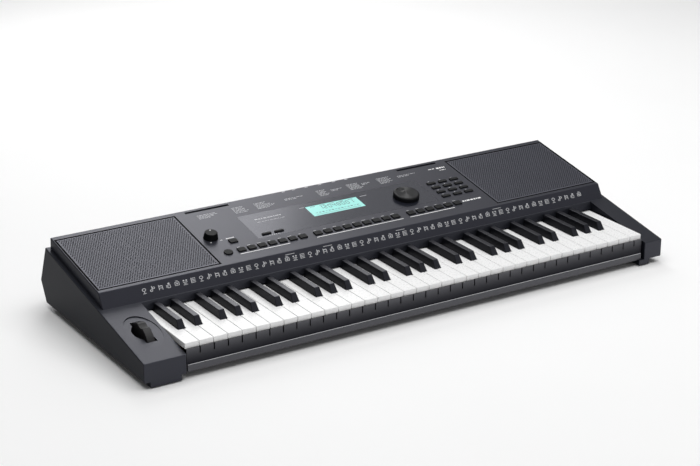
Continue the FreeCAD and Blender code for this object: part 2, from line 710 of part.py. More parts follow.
def front_rail():
    """The rail, and the slip with its row of slits."""
    y0 = FRONT_Y + RAIL_SETBACK
    x0 = CHEEK_IN_LEFT + RAIL_END_GAP
    x1 = CHEEK_IN_RIGHT - RAIL_END_GAP
    top = SKIRT_Z + RAIL_HEIGHT
    rail = box(x0, x1, y0, FLOOR_FRONT_Y, SKIRT_Z, top)
    rail = rail.makeFillet(EDGE_ROUND, edges_where(rail, lambda p: near(p.y, y0) and not near(p.z, SKIRT_Z)))
    hollow = box(x0 - 1, x1 + 1, y0 + WALL, FLOOR_FRONT_Y + 1, FLOOR_Z, top - WALL)
    slip_back = KEY_FRONT_Y - SLIP_GAP
    slip_front = slip_back - SLIP_T
    slip_top = KEY_BOTTOM_Z + SLIP_OVER
    groove = box(x0 - 1, x1 + 1, slip_front - FIT, slip_back + FIT, top - SLIP_SEAT, top + 1)
    slip = box(x0, x1, slip_front, slip_back, top - SLIP_SEAT, slip_top)
    slits = [centred_box(KEYS_LEFT + SLIT_FIRST + i * SLIT_PITCH, slip_back, SLIT_WIDTH, 3 * SLIP_T,
                         slip_top - SLIT_DEPTH, slip_top + 1) for i in range(SLIT_COUNT)]
    return Part.makeCompound([rail.cut([hollow, groove]), slip.cut(slits)])


def rubber_feet():
    return Part.makeCompound([rod_z(x, y, 0, FOOT_STAND + FOOT_SEAT, FOOT_R) for x, y in foot_places()])


# Keys. In one octave five keys share the first three white widths, and seven share the other four.
NOTES = ("c", "c_sharp", "d", "d_sharp", "e", "f", "f_sharp", "g", "g_sharp", "a", "a_sharp", "b")
WHITE_NOTES = [name for name in NOTES if "sharp" not in name]
LOW_GROUP = 5
LOW_GROUP_WHITES = 3


def slot_edge(n):
    """Left edge of the n-th key's place behind the black keys, from the octave's left side."""
    low_width = LOW_GROUP_WHITES * WHITE_PITCH
    if n <= LOW_GROUP:
        return n * low_width / LOW_GROUP
    return low_width + (n - LOW_GROUP) * (OCTAVE - low_width) / (len(NOTES) - LOW_GROUP)


def slot_middle(n):
    return (slot_edge(n) + slot_edge(n + 1)) / 2


def key_tail(n, front):
    """The hidden arm from a key's playing part to the ear that swings on the rod."""
    half = (slot_edge(n + 1) - slot_edge(n) - TOOTH) / 2 - TOOTH_GAP
    x = KEYS_LEFT + slot_middle(n)
    arm = box(x - half, x + half, front, PIVOT_Y, TAIL_LOW, TAIL_HIGH)
    ear = rod_x(x - half, x + half, PIVOT_Y, PIVOT_Z, EAR_R)
    return arm.fuse(ear)


def rod_bore():
    return rod_x(CASE_LEFT, CASE_RIGHT, PIVOT_Y, PIVOT_Z, ROD_R + ROD_SLIP)


def white_key(n, alone=False):
    """A white key of the lowest octave; one alone has no black key on its right."""
    place = WHITE_NOTES.index(NOTES[n])
    left = KEYS_LEFT + place * WHITE_PITCH + WHITE_GAP / 2
    right = left + WHITE_PITCH - WHITE_GAP
    after_white = NOTES[n - 1] in WHITE_NOTES
    before_white = alone or NOTES[(n + 1) % len(NOTES)] in WHITE_NOTES
    back_left = left if after_white else KEYS_LEFT + slot_edge(n)
    back_right = right if before_white else KEYS_LEFT + slot_edge(n + 1)
    outline = [(left, KEY_FRONT_Y), (right, KEY_FRONT_Y), (right, NOTCH_Y), (back_right, NOTCH_Y),
               (back_right, HEAD_BACK_Y), (back_left, HEAD_BACK_Y), (back_left, NOTCH_Y), (left, NOTCH_Y)]
    plan = []
    for corner in outline:
        if not plan or corner != plan[-1]:
            plan.append(corner)
    head = prism_z(plan, KEY_BOTTOM_Z, KEY_TOP_Z).removeSplitter()
    def rounded(p):
        front = near(p.y, KEY_FRONT_Y) and p.z > KEY_BOTTOM_Z + 1
        side = near(p.z, KEY_TOP_Z) and (near(p.x, left) or near(p.x, right))
        return front or side
    head = head.makeFillet(KEY_ROUND, edges_where(head, rounded))
    top = KEY_TOP_Z - KEY_SKIN
    arm_front = HEAD_BACK_Y - 2 * LIP_HEIGHT
    hollows = [box(left + KEY_WALL, right - KEY_WALL, KEY_FRONT_Y + KEY_WALL, NOTCH_Y - KEY_WALL,
                   KEY_BOTTOM_Z, top),
               box(back_left + KEY_WALL, back_right - KEY_WALL, NOTCH_Y + KEY_WALL, HOLLOW_BACK_Y,
                   KEY_BOTTOM_Z, top)]
    return head.cut(hollows).fuse(key_tail(n, arm_front)).cut(rod_bore())


def black_key(n):
    x = KEYS_LEFT + slot_middle(n)
    base = (x - BLACK_BASE / 2, x + BLACK_BASE / 2, BLACK_FRONT_Y, CAP_BACK_Y)
    crown = (x - BLACK_TOP / 2, x + BLACK_TOP / 2, BLACK_FRONT_Y + BLACK_LEAN, CAP_BACK_Y)
    cap = frustum(base, crown, KEY_TOP_Z, KEY_TOP_Z + BLACK_HEIGHT)
    def rounded(p):
        back = near(p.y, CAP_BACK_Y)
        front = p.z > KEY_TOP_Z + 1 and p.y < BLACK_FRONT_Y + BLACK_LEAN + 0.1
        return not back and (front or near(p.z, KEY_TOP_Z + BLACK_HEIGHT))
    cap = cap.makeFillet(BLACK_ROUND, edges_where(cap, rounded))
    x0, x1, y0, y1 = base
    body = box(x0, x1, y0, y1, KEY_BOTTOM_Z, KEY_TOP_Z)
    arm_front = CAP_BACK_Y - 2 * LIP_HEIGHT
    hollow = box(x0 + KEY_WALL, x1 - KEY_WALL, y0 + BLACK_LEAN, HOLLOW_BACK_Y,
                 KEY_BOTTOM_Z, KEY_TOP_Z + BLACK_HEIGHT / 3)
    return cap.fuse(body).cut(hollow).fuse(key_tail(n, arm_front)).cut(rod_bore())


def key_set(n):
    """The keys of one note name, one in each octave."""
    key = black_key(n) if "sharp" in NOTES[n] else white_key(n)
    return Part.makeCompound([moved_x(key, octave * OCTAVE) for octave in range(OCTAVES)])


def key_middles():
    """X of every key's tail, from the lowest C to the top C."""
    xs = [KEYS_LEFT + octave * OCTAVE + slot_middle(n)
          for octave in range(OCTAVES) for n in range(len(NOTES))]
    return xs + [KEYS_LEFT + OCTAVES * OCTAVE + slot_middle(0)]


# Key frame: one long moulding under the keys, with a comb at the back that carries the rod.
FELT_Y = KEY_FRONT_Y + FELT_FROM_LIP
FELT_TOP_Z = KEY_BOTTOM_Z - dip_at(FELT_Y) - DIP_SPARE
CONTACT_Y = KEY_FRONT_Y + CONTACT_FROM_LIP
CONTACT_Z = FRAME_TOP_Z + CONTACT_HEIGHT
HOLLOW_BACK_Y = CONTACT_Y + CONTACT_WIDTH / 2 - 2 * DOME_R
SPRING_Y = PIVOT_Y - SPRING_FROM_PIVOT
SPRING_TIP_Y = SPRING_Y + SPRING_SEAT + SPRING_REACH
SPRING_TIP_Z = TAIL_LOW - dip_at(SPRING_TIP_Y) - SPRING_T / 2
SPRING_Z = SPRING_TIP_Z - SPRING_RISE
COMB_Y = PIVOT_Y - COMB_DEPTH / 2
FRAME_FRONT_Y = FLOOR_FRONT_Y
FRAME_WALL_Z = KEY_BOTTOM_Z - dip_at(FRAME_FRONT_Y) - DIP_SPARE


def frame_outline():
    low = FLOOR_Z
    top = FRAME_TOP_Z
    back = COMB_Y + COMB_DEPTH
    points = [(FRAME_FRONT_Y, low), (FRAME_FRONT_Y, FRAME_WALL_Z), (FRAME_FRONT_Y + FRAME_T, FRAME_WALL_Z)]
    ribs = [(FELT_Y, FELT_Y + FELT_WIDTH, FELT_TOP_Z - FELT_T),
            (CONTACT_Y, CONTACT_Y + RIB, CONTACT_Z),
            (CONTACT_Y + CONTACT_WIDTH - RIB, CONTACT_Y + CONTACT_WIDTH, CONTACT_Z),
            (SPRING_Y, SPRING_Y + SPRING_SEAT, SPRING_Z)]
    points.append((FRAME_FRONT_Y + FRAME_T, top))
    for y0, y1, z in ribs:
        points += [(y0, top), (y0, z), (y1, z), (y1, top)]
    return points + [(back, top), (back, low)]


def keybed_screw_places():
    rows = (CONTACT_Y - 2 * CASE_SCREW_HEAD_R, SPRING_Y - 2 * CASE_SCREW_HEAD_R)
    middle = (KEYS_LEFT + KEYS_RIGHT) / 2
    step = (KEYS_RIGHT - KEYS_LEFT) / 5
    return [(middle + i * step, y) for y in rows for i in (-2, -1, 0, 1, 2)]


def key_frame():
    frame = prism_x(frame_outline(), KEYS_LEFT - TOOTH / 2, KEYS_RIGHT)
    edges = [KEYS_LEFT + octave * OCTAVE + slot_edge(n)
             for octave in range(OCTAVES) for n in range(len(NOTES))]
    edges += [KEYS_LEFT + OCTAVES * OCTAVE + slot_edge(n) for n in (0, 1)]
    teeth = [box(x - TOOTH / 2, x + TOOTH / 2, COMB_Y, COMB_Y + COMB_DEPTH, FLOOR_Z, PIVOT_Z + COMB_RISE)
             for x in edges]
    holes = [rod_z(x, y, FLOOR_Z - 1, FRAME_TOP_Z + 1, CASE_SCREW_R + PASS_GAP)
             for x, y in keybed_screw_places()]
    return frame.fuse(teeth).cut(holes + [rod_bore()])


def key_pivot_rod():
    return rod_x(KEYS_LEFT - TOOTH / 2, KEYS_RIGHT, PIVOT_Y, PIVOT_Z, ROD_R)


def key_springs():
    seat_end = SPRING_Y + SPRING_SEAT
    low = [(SPRING_Y, SPRING_Z), (seat_end, SPRING_Z), (SPRING_TIP_Y, SPRING_TIP_Z - SPRING_T)]
    outline = low + [(y, z + SPRING_T) for y, z in reversed(low)]
    leaf = prism_x(outline, -SPRING_WIDTH / 2, SPRING_WIDTH / 2)
    return Part.makeCompound([moved_x(leaf, x) for x in key_middles()])


def contact_board():
    return box(KEYS_LEFT + WALL, KEYS_RIGHT - WALL, CONTACT_Y, CONTACT_Y + CONTACT_WIDTH,
               CONTACT_Z, CONTACT_Z + BOARD_T)


def contact_strip():
    z0 = CONTACT_Z + BOARD_T
    y = CONTACT_Y + CONTACT_WIDTH / 2
    base = box(KEYS_LEFT + WALL, KEYS_RIGHT - WALL, y - 2 * DOME_R, y + 2 * DOME_R, z0, z0 + CONTACT_BASE_T)
    top = KEY_BOTTOM_Z - dip_at(y - DOME_R) - DIP_SPARE
    foot = z0 + CONTACT_BASE_T / 2
    domes = [Part.makeCone(DOME_R, DOME_TOP_R, top - foot, V(x, y, foot)) for x in key_middles()]
    return base.fuse(domes)


def key_stop_felt():
    return box(KEYS_LEFT, KEYS_RIGHT, FELT_Y, FELT_Y + FELT_WIDTH, FELT_TOP_Z - FELT_T, FELT_TOP_Z)


# Buttons: a cap through the panel, a flange held under it and a stem over the rubber pad.
def retained(cap, flange, x, s):
    stem = centred_box(x, s, STEM, STEM, -STEM_DROP, -PANEL_T - FLANGE_T)
    return on_panel(cap.fuse([flange, stem]))


def button(x, s, width, depth):
    cap = centred_box(x, s, width, depth, -PANEL_T, BUTTON_RISE)
    cap = cap.makeFillet(BUTTON_ROUND, edges_where(cap, lambda p: p.z > -PANEL_T + 0.1))
    flange = centred_box(x, s, width + 2 * FLANGE_EDGE, depth + 2 * FLANGE_EDGE,
                         -PANEL_T - FLANGE_T, -PANEL_T)
    return retained(cap, flange, x, s)


def round_button():
    cap = rod_z(*ROUND, -PANEL_T, BUTTON_RISE, ROUND_R)
    cap = cap.makeFillet(BUTTON_ROUND, edges_where(cap, lambda p: near(p.z, BUTTON_RISE)))
    flange = rod_z(*ROUND, -PANEL_T - FLANGE_T, -PANEL_T, ROUND_R + FLANGE_EDGE)
    return retained(cap, flange, *ROUND)


def button_set(places, width, depth):
    return Part.makeCompound([button(x, s, width, depth) for x, s in places])


def button_pads():
    top = -STEM_DROP - BUTTON_TRAVEL - PAD_SPARE
    places = [(x, s) for x, s, width, depth in RECTANGLES] + [ROUND]
    return Part.makeCompound([on_panel(rod_z(x, s, -BOARD_DROP, top, PAD_R)) for x, s in places])


# Turning controls.
def control_shaft(x, s, top):
    return rod_z(x, s, -SHAFT_DROP, top, SHAFT_R)


def volume_knob():
    knob = Part.makeCone(KNOB_BASE_R, KNOB_TOP_R, KNOB_HEIGHT, V(*KNOB, TURN_GAP))
    knob = knob.makeFillet(KNOB_ROUND, edges_where(knob, lambda p: near(p.z, TURN_GAP + KNOB_HEIGHT)))
    return on_panel(knob.fuse(control_shaft(*KNOB, TURN_GAP + KNOB_HEIGHT / 2)))


def data_dial():
    top = TURN_GAP + DIAL_HEIGHT
    dial = rod_z(*DIAL, TURN_GAP, top, DIAL_R)
    dial = dial.makeFillet(DIAL_ROUND, edges_where(dial, lambda p: near(p.z, top)))
    angle = math.radians(DIMPLE_TURN)
    x = DIAL[0] + DIMPLE_OFFSET * math.cos(angle)
    s = DIAL[1] + DIMPLE_OFFSET * math.sin(angle)
    ball = Part.makeSphere(DIMPLE_R, V(x, s, top + DIMPLE_R - DIMPLE_DEPTH))
    return on_panel(dial.cut(ball).fuse(control_shaft(*DIAL, TURN_GAP + DIAL_HEIGHT / 2)))


def panel_sensor(x, s):
    """The turning sensor under a knob: a block on the panel board with a bore for the shaft."""
    block = centred_box(x, s, SENSOR_SIZE, SENSOR_SIZE, -BOARD_DROP, -BOARD_DROP + SENSOR_HEIGHT)
    bore = rod_z(x, s, -SHAFT_DROP - FIT, PANEL_T, SHAFT_R + SHAFT_SLIP)
    return on_panel(block.cut(bore))


def header_s():
    """The header stands midway between the front and the back posts."""
    return (POSTS[0][1] + POSTS[-1][1]) / 2


def panel_board():
    board = box(KNOB[0] - PANEL_BOARD_MARGIN, KEYPAD[-1][0] + PANEL_BOARD_MARGIN,
                LEFT_ROW[0][1] - PANEL_BOARD_MARGIN, POSTS[-1][1] + PANEL_BOARD_MARGIN / 2,
                -BOARD_DROP - BOARD_T, -BOARD_DROP)
    low = -BOARD_DROP - BOARD_T - HEADER[2]
    board = board.fuse(centred_box(RIBBON_X, header_s(), HEADER[0], HEADER[1], low, -BOARD_DROP - BOARD_T))
    return on_panel(board.cut([rod_z(x, s, -2 * BOARD_DROP, 0, SCREW_R + PASS_GAP) for x, s in POSTS]))


# Main board on posts behind the keys, with the rear sockets on it.
MAIN_BOARD_BACK = RECESS_Y - WALL - FIT


def main_board_screw_places():
    x0, x1 = MAIN_BOARD_X
    ys = (MAIN_BOARD_BACK - MAIN_BOARD_DEPTH + MAIN_BOARD_MARGIN, MAIN_BOARD_BACK - 2 * MAIN_BOARD_MARGIN)
    return [(x, y) for x in (x0 + MAIN_BOARD_MARGIN, x1 - MAIN_BOARD_MARGIN) for y in ys]


def ribbon_ends():
    """The middle of the panel board's header below it, and of the main board's header above it."""
    high = PANEL_AT.multVec(V(RIBBON_X, header_s(), -BOARD_DROP - BOARD_T - HEADER[2]))
    low_y = max(high.y, MAIN_BOARD_BACK - MAIN_BOARD_DEPTH + HEADER[1])
    low = V(RIBBON_X, low_y, MAIN_BOARD_Z + BOARD_T + HEADER[2])
    return low, high


def main_board():
    x0, x1 = MAIN_BOARD_X
    z1 = MAIN_BOARD_Z + BOARD_T
    board = box(x0, x1, MAIN_BOARD_BACK - MAIN_BOARD_DEPTH, MAIN_BOARD_BACK, MAIN_BOARD_Z, z1)
    low, high = ribbon_ends()
    board = board.fuse(centred_box(low.x, low.y, HEADER[0], HEADER[1], z1, z1 + HEADER[2]))
    holes = [rod_z(x, y, MAIN_BOARD_Z - 1, z1 + 1, SCREW_R + PASS_GAP) for x, y in main_board_screw_places()]
    return board.cut(holes)


def ribbon_cable():
    low, high = ribbon_ends()
    start = V(0, low.y, low.z + 2 * FIT)
    end = V(0, high.y, high.z - 2 * FIT)
    bow = [start, (start + end) / 2 + V(0, RIBBON_BULGE, 0), end]
    centre = Part.Arc(*bow).toShape().Curve.Center
    def beside(shift):
        return [p + (p - centre).normalize() * shift for p in bow]
    inner = beside(-RIBBON_T / 2)
    outer = beside(RIBBON_T / 2)
    edges = [Part.Arc(*inner).toShape(), Part.makeLine(inner[2], outer[2]),
             Part.Arc(*outer[::-1]).toShape(), Part.makeLine(outer[0], inner[0])]
    strip = Part.Face(Part.Wire(edges)).extrude(V(RIBBON_WIDTH, 0, 0))
    return moved_x(strip, RIBBON_X - RIBBON_WIDTH / 2)


def jack(x, bore_r, bore_depth):
    mouth = RECESS_Y + NOSE_PROUD
    body = centred_box(x, MAIN_BOARD_BACK - bore_depth / 2, JACK_BODY, bore_depth, SOCKET_Z - JACK_BODY / 2,
                       SOCKET_Z + JACK_BODY / 2)
    nose = rod_y(x, MAIN_BOARD_BACK - WALL, mouth, SOCKET_Z, NOSE_R)
    return body.fuse(nose).cut(rod_y(x, mouth - bore_depth, mouth + 1, SOCKET_Z, bore_r))


def dc_inlet():
    mouth = RECESS_Y + NOSE_PROUD
    pin = rod_y(DC_X, mouth - DC_DEPTH - 1, mouth - 1, SOCKET_Z, DC_PIN_R)
    return jack(DC_X, DC_R, DC_DEPTH).fuse(pin)


def usb_nose(grow):
    width = USB_WIDTH + 2 * USB_SHELL + 2 * grow
    height = USB_HEIGHT + 2 * USB_SHELL + 2 * grow
    return box(USB_X - width / 2, USB_X + width / 2, MAIN_BOARD_BACK - WALL, RECESS_Y + NOSE_PROUD,
               SOCKET_Z - height / 2, SOCKET_Z + height / 2)


def usb_socket():
    mouth = RECESS_Y + NOSE_PROUD
    body = centred_box(USB_X, MAIN_BOARD_BACK - USB_DEPTH / 2, JACK_BODY, USB_DEPTH, SOCKET_Z - JACK_BODY / 2,
                       SOCKET_Z + JACK_BODY / 2)
    room = box(USB_X - USB_WIDTH / 2, USB_X + USB_WIDTH / 2, mouth - USB_DEPTH, mouth + 1,
               SOCKET_Z - USB_HEIGHT / 2, SOCKET_Z + USB_HEIGHT / 2)
    return body.fuse(usb_nose(0)).cut(room)


# Pitch wheel: a fan-shaped wheel on its own axle, in a bracket on the cheek's floor.
BRACKET_IN = WHEEL_WIDTH / 2 + BRACKET_GAP


def pitch_wheel():
    axis = wheel_axis()
    half = WHEEL_WIDTH / 2
    reach = math.acos(1 - WHEEL_PROUD / WHEEL_R) + math.radians(WHEEL_SWING + WHEEL_SPARE)
    def rim(angle):
        return V(0, WHEEL_R * math.sin(angle), WHEEL_R * math.cos(angle))
    centre = V(0, 0, 0)
    edges = [Part.Arc(rim(-reach), rim(0), rim(reach)).toShape(), Part.makeLine(rim(reach), centre),
             Part.makeLine(centre, rim(-reach))]
    fan = Part.Face(Part.Wire(edges)).extrude(V(WHEEL_WIDTH, 0, 0))
    fan = fan.makeFillet(WHEEL_ROUND, edges_where(fan, lambda p: near(math.hypot(p.y, p.z), WHEEL_R)
                                                  and not near(p.x, half)))
    thumb = rod_x(-1, WHEEL_WIDTH + 1, 0, WHEEL_R + THUMB_R - THUMB_DEPTH, THUMB_R)
    wheel = fan.cut(thumb).fuse(rod_x(0, WHEEL_WIDTH, 0, 0, WHEEL_HUB_R))
    wheel = wheel.fuse(rod_x(half - AXLE_LENGTH / 2, half + AXLE_LENGTH / 2, 0, 0, AXLE_R))
    wheel.rotate(V(0, 0, 0), V(1, 0, 0), CHEEK_SLOPE)
    wheel.translate(V(axis.x - half, axis.y, axis.z))
    return wheel


def wheel_bracket():
    axis = wheel_axis()
    floor = SKIRT_Z + SIDE_WALL
    outer = BRACKET_IN + BRACKET_T
    block = box(axis.x - outer, axis.x + outer, axis.y - BRACKET_WIDTH / 2, axis.y + BRACKET_WIDTH / 2,
                floor, axis.z + 2 * AXLE_R)
    room = box(axis.x - BRACKET_IN, axis.x + BRACKET_IN, axis.y - BRACKET_WIDTH, axis.y + BRACKET_WIDTH,
               floor + BRACKET_T, axis.z + WHEEL_R)
    bore = rod_x(axis.x - 2 * outer, axis.x + 2 * outer, axis.y, axis.z, AXLE_R + AXLE_SLIP)
    return block.cut([room, bore])


def wheel_sensor():
    axis = wheel_axis()
    x0 = axis.x + BRACKET_IN + BRACKET_T
    block = box(x0, x0 + WHEEL_SENSOR_T, axis.y - BRACKET_WIDTH / 2, axis.y + BRACKET_WIDTH / 2,
                SKIRT_Z + SIDE_WALL, axis.z + 2 * AXLE_R)
    return block.cut(rod_x(x0 - 1, axis.x + AXLE_LENGTH / 2 + FIT, axis.y, axis.z, AXLE_R + AXLE_SLIP))


def wheel_spring():
    axis = wheel_axis()
    x0 = axis.x - BRACKET_IN
    ring = rod_x(x0, x0 + BRACKET_GAP - 2 * FIT, axis.y, axis.z, 2.4 * AXLE_R)
    return ring.cut(rod_x(x0 - 1, x0 + BRACKET_GAP, axis.y, axis.z, AXLE_R + 2 * FIT))


# Loudspeakers, hung under the panel behind the grilles.
def speaker_screw_places(side):
    r = SPEAKER_SCREW_PCD / 2
    turns = [math.radians(45 + 90 * i) for i in range(4)]
    return [(side * SPEAKER_X + r * math.cos(a), SPEAKER_S + r * math.sin(a)) for a in turns]


def speaker_pair(make):
    return Part.makeCompound([on_panel(make(side * SPEAKER_X, SPEAKER_S)) for side in (-1, 1)])


BASKET_TOP = -PANEL_T
BASKET_FLOOR = BASKET_TOP - SPEAKER_DEPTH


def basket(x, s):
    top = BASKET_TOP
    low = BASKET_FLOOR
    bowl = turned([(SPEAKER_OPENING_R, top), (SPEAKER_R, top), (SPEAKER_R, top - BASKET_FLANGE),
                   (SPEAKER_OPENING_R + BASKET_WALL, top - BASKET_FLANGE), (BASKET_BACK_R, low - BASKET_WALL),
                   (0, low - BASKET_WALL), (0, low), (BASKET_BACK_R - BASKET_WALL, low),
                   (SPEAKER_OPENING_R, top - BASKET_FLANGE)], x, s)
    side = math.copysign(1, x)
    return bowl.cut([rod_z(a, b, top - 2 * BASKET_FLANGE, top + 1, SCREW_R + PASS_GAP)
                     for a, b in speaker_screw_places(side)])


def cone(x, s):
    edge = SPEAKER_OPENING_R - CONE_GAP
    top = BASKET_TOP - BASKET_FLANGE / 2
    low = top - CONE_DEPTH
    return turned([(edge, top), (edge, top - CONE_T), (DUST_CAP_R, low - CONE_T), (0, low - CONE_T), (0, low),
                   (DUST_CAP_R, low), (edge - BASKET_WALL, top)], x, s)


def magnet(x, s):
    high = BASKET_FLOOR - BASKET_WALL
    return rod_z(x, s, high - MAGNET_HEIGHT, high, MAGNET_R)


# Screws: a round head and a shank, pointing up or down.
def screw(x, y, z, r, head_r, head, length, up):
    """A screw whose head sits against height z and whose shank goes on past it."""
    if up:
        return rod_z(x, y, z - head, z, head_r).fuse(rod_z(x, y, z - head / 2, z + length, r))
    return rod_z(x, y, z, z + head, head_r).fuse(rod_z(x, y, z - length, z + head / 2, r))


def board_screws():
    length = BOARD_T + SCREW_BITE - FIT
    low = -BOARD_DROP - BOARD_T
    screws = [on_panel(screw(x, s, low, SCREW_R, SCREW_HEAD_R, SCREW_HEAD, length, True)) for x, s in POSTS]
    high = MAIN_BOARD_Z + BOARD_T
    return screws + [screw(x, y, high, SCREW_R, SCREW_HEAD_R, SCREW_HEAD, length, False)
                     for x, y in main_board_screw_places()]


def speaker_screws():
    low = -PANEL_T - BASKET_FLANGE
    length = BASKET_FLANGE + PANEL_T - GRILLE_T - FIT
    return [on_panel(screw(x, s, low, SCREW_R, SCREW_HEAD_R, SCREW_HEAD, length, True))
            for side in (-1, 1) for x, s in speaker_screw_places(side)]


def case_screws(places, z, length):
    screws = [screw(x, y, z, CASE_SCREW_R, CASE_SCREW_HEAD_R, CASE_SCREW_HEAD, length, False)
              for x, y in places]
    return Part.makeCompound(screws)


def pieces():
    yield "bottom_case", bottom_case()
    yield "left_end_block", left_end_block()
    yield "right_end_block", end_block(1, RIGHT_CHEEK)
    yield "front_rail", front_rail()
    yield "upper_case", upper_case()
    yield "key_cover_strip", key_cover_strip()
    yield "left_grille", grille(-1)
    yield "right_grille", grille(1)
    yield "display_window", display_window()
    yield "lcd_module", lcd_module()
    yield "speaker_baskets", speaker_pair(basket)
    yield "speaker_cones", speaker_pair(cone)
    yield "speaker_magnets", speaker_pair(magnet)
    yield "speaker_screws", Part.makeCompound(speaker_screws())
    yield "key_frame", key_frame()
    yield "key_pivot_rod", key_pivot_rod()
    yield "key_springs", key_springs()
    yield "contact_board", contact_board()
    yield "contact_strip", contact_strip()
    yield "key_stop_felt", key_stop_felt()
    yield "panel_board", panel_board()
    yield "button_pads", button_pads()
    yield "volume_pot", panel_sensor(*KNOB)
    yield "dial_encoder", panel_sensor(*DIAL)
    yield "main_board", main_board()
    yield "ribbon_cable", ribbon_cable()
    yield "phones_jack", jack(PHONES_X, JACK_R, JACK_DEPTH)
    yield "pedal_jack", jack(PEDAL_X, JACK_R, JACK_DEPTH)
    yield "usb_socket", usb_socket()
    yield "dc_inlet", dc_inlet()
    yield "wheel_bracket", wheel_bracket()
    yield "wheel_sensor", wheel_sensor()
    yield "wheel_spring", wheel_spring()
    yield "rubber_feet", rubber_feet()
    yield "case_screws", case_screws(case_screw_places(), FLOOR_Z, FLOOR_T + CASE_SCREW_BITE - FIT)
    yield "keybed_screws", case_screws(keybed_screw_places(), FRAME_TOP_Z, FRAME_T + FLOOR_T - FIT)
    yield "board_screws", Part.makeCompound(board_screws())
    for n, name in enumerate(NOTES):
        yield "key_" + name, key_set(n)
    yield "key_top_c", moved_x(white_key(0, alone=True), OCTAVES * OCTAVE)
    yield "left_row_buttons", button_set(LEFT_ROW, BUTTON_WIDTH, BUTTON_DEPTH)
    yield "middle_row_buttons", button_set(MIDDLE_ROW, BUTTON_WIDTH, BUTTON_DEPTH)
    yield "right_row_buttons", button_set(RIGHT_ROW, BUTTON_WIDTH, BUTTON_DEPTH)
    yield "square_button", button(*SQUARE, BUTTON_WIDTH, BUTTON_DEPTH)
    yield "round_button", round_button()
    yield "slim_buttons", button_set(PAIR, PAIR_WIDTH, PAIR_DEPTH)
    yield "keypad_buttons", button_set(KEYPAD, KEYPAD_WIDTH, KEYPAD_DEPTH)
    yield "volume_knob", volume_knob()
    yield "data_dial", data_dial()
    yield "pitch_wheel", pitch_wheel()


os.makedirs("parts", exist_ok=True)
for name, shape in pieces():
    shape.exportStep("parts/" + name + ".step")
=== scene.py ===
import json
import math
import bpy
from mathutils import Euler, Matrix, Vector


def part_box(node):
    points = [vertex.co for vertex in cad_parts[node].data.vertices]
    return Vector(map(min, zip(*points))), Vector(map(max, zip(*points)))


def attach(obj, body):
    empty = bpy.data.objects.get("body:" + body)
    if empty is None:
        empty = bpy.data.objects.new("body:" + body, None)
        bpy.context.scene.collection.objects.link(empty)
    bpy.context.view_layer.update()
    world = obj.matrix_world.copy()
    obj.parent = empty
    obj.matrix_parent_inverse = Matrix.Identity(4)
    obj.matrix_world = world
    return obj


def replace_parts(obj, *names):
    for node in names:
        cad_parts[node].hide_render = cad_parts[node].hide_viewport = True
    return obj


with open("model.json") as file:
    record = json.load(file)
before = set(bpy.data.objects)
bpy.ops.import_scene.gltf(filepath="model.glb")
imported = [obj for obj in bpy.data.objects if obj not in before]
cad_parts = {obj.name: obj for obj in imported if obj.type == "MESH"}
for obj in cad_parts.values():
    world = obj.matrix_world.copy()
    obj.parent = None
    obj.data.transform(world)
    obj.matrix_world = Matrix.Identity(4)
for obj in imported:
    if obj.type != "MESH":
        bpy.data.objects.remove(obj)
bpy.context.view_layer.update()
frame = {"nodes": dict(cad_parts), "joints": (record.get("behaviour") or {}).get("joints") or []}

# A portable arranger keyboard: finishes for the modelled pieces, and print, mesh and small fittings on them.

# Lengths are in millimetres, except in the studio, where they are in metres.
MM = 0.001
NODES = frame["nodes"]
JOINTS = {joint["name"]: joint for joint in frame["joints"]}
OBJECT_FRAME = Matrix.Scale(MM, 4)

# Controls and edges that other places are measured from.
DIAL_X = 127.0
DIAL_S = 83.0
KNOB_X = -239.5
KNOB_S = 83.0
KNOB_TOP = 10.4
FASCIA_LEAN = 13.8
FASCIA_HEIGHT = 22.7
RAIL_TOP = 21.5
SLIP_TOP = 45.2
EDGE_ROUND = 1.5


# Frames of the sloped panel and of the fascia.
def slope_frame(x, s, n, point, normal):
    """The frame of a slope, in which a known point of the object has the coordinates x, s and n.
    x runs to the right, s up the slope from its front edge, and n out of the surface."""
    out = Vector(normal).normalized()
    up = Vector((0, out.z, -out.y))
    turn = Matrix((Vector((1, 0, 0)), up, out)).transposed().to_4x4()
    here = turn @ OBJECT_FRAME
    return Matrix.Translation(Vector(point) - here @ Vector((x, s, n))) @ here


PANEL = slope_frame(DIAL_X, DIAL_S, 0, JOINTS["dial_turn"]["pos_m"], JOINTS["dial_turn"]["axis"])
FASCIA_FOOT = PANEL @ Vector((0, 0, 0)) - Vector((0, FASCIA_LEAN, FASCIA_HEIGHT)) * MM
FASCIA = slope_frame(0, 0, 0, FASCIA_FOOT, (0, -FASCIA_HEIGHT, FASCIA_LEAN))

# Materials.
FULL_SHINE = 0.5
BARE_SHINE = 0.1
SIDEWAYS = 0.5
FADE_CURVE = 1.6
# Sockets of a mix node that carry its two colours and its result.
MIX_A = 6
MIX_B = 7
MIX_RESULT = 2


def linear(code):
    """An sRGB hex colour as linear red, green, blue and alpha."""
    parts = [int(code[i:i + 2], 16) / 255 for i in (1, 3, 5)]
    return [c / 12.92 if c <= 0.04045 else ((c + 0.055) / 1.055) ** 2.4 for c in parts] + [1.0]


def add(tree, kind, inputs=None, **settings):
    """Add a node, set its settings, and set or link its inputs by name or number."""
    made = tree.nodes.new(kind)
    for name, value in settings.items():
        setattr(made, name, value)
    for name, value in (inputs or {}).items():
        if isinstance(value, bpy.types.NodeSocket):
            tree.links.new(value, made.inputs[name])
        else:
            made.inputs[name].default_value = value
    return made


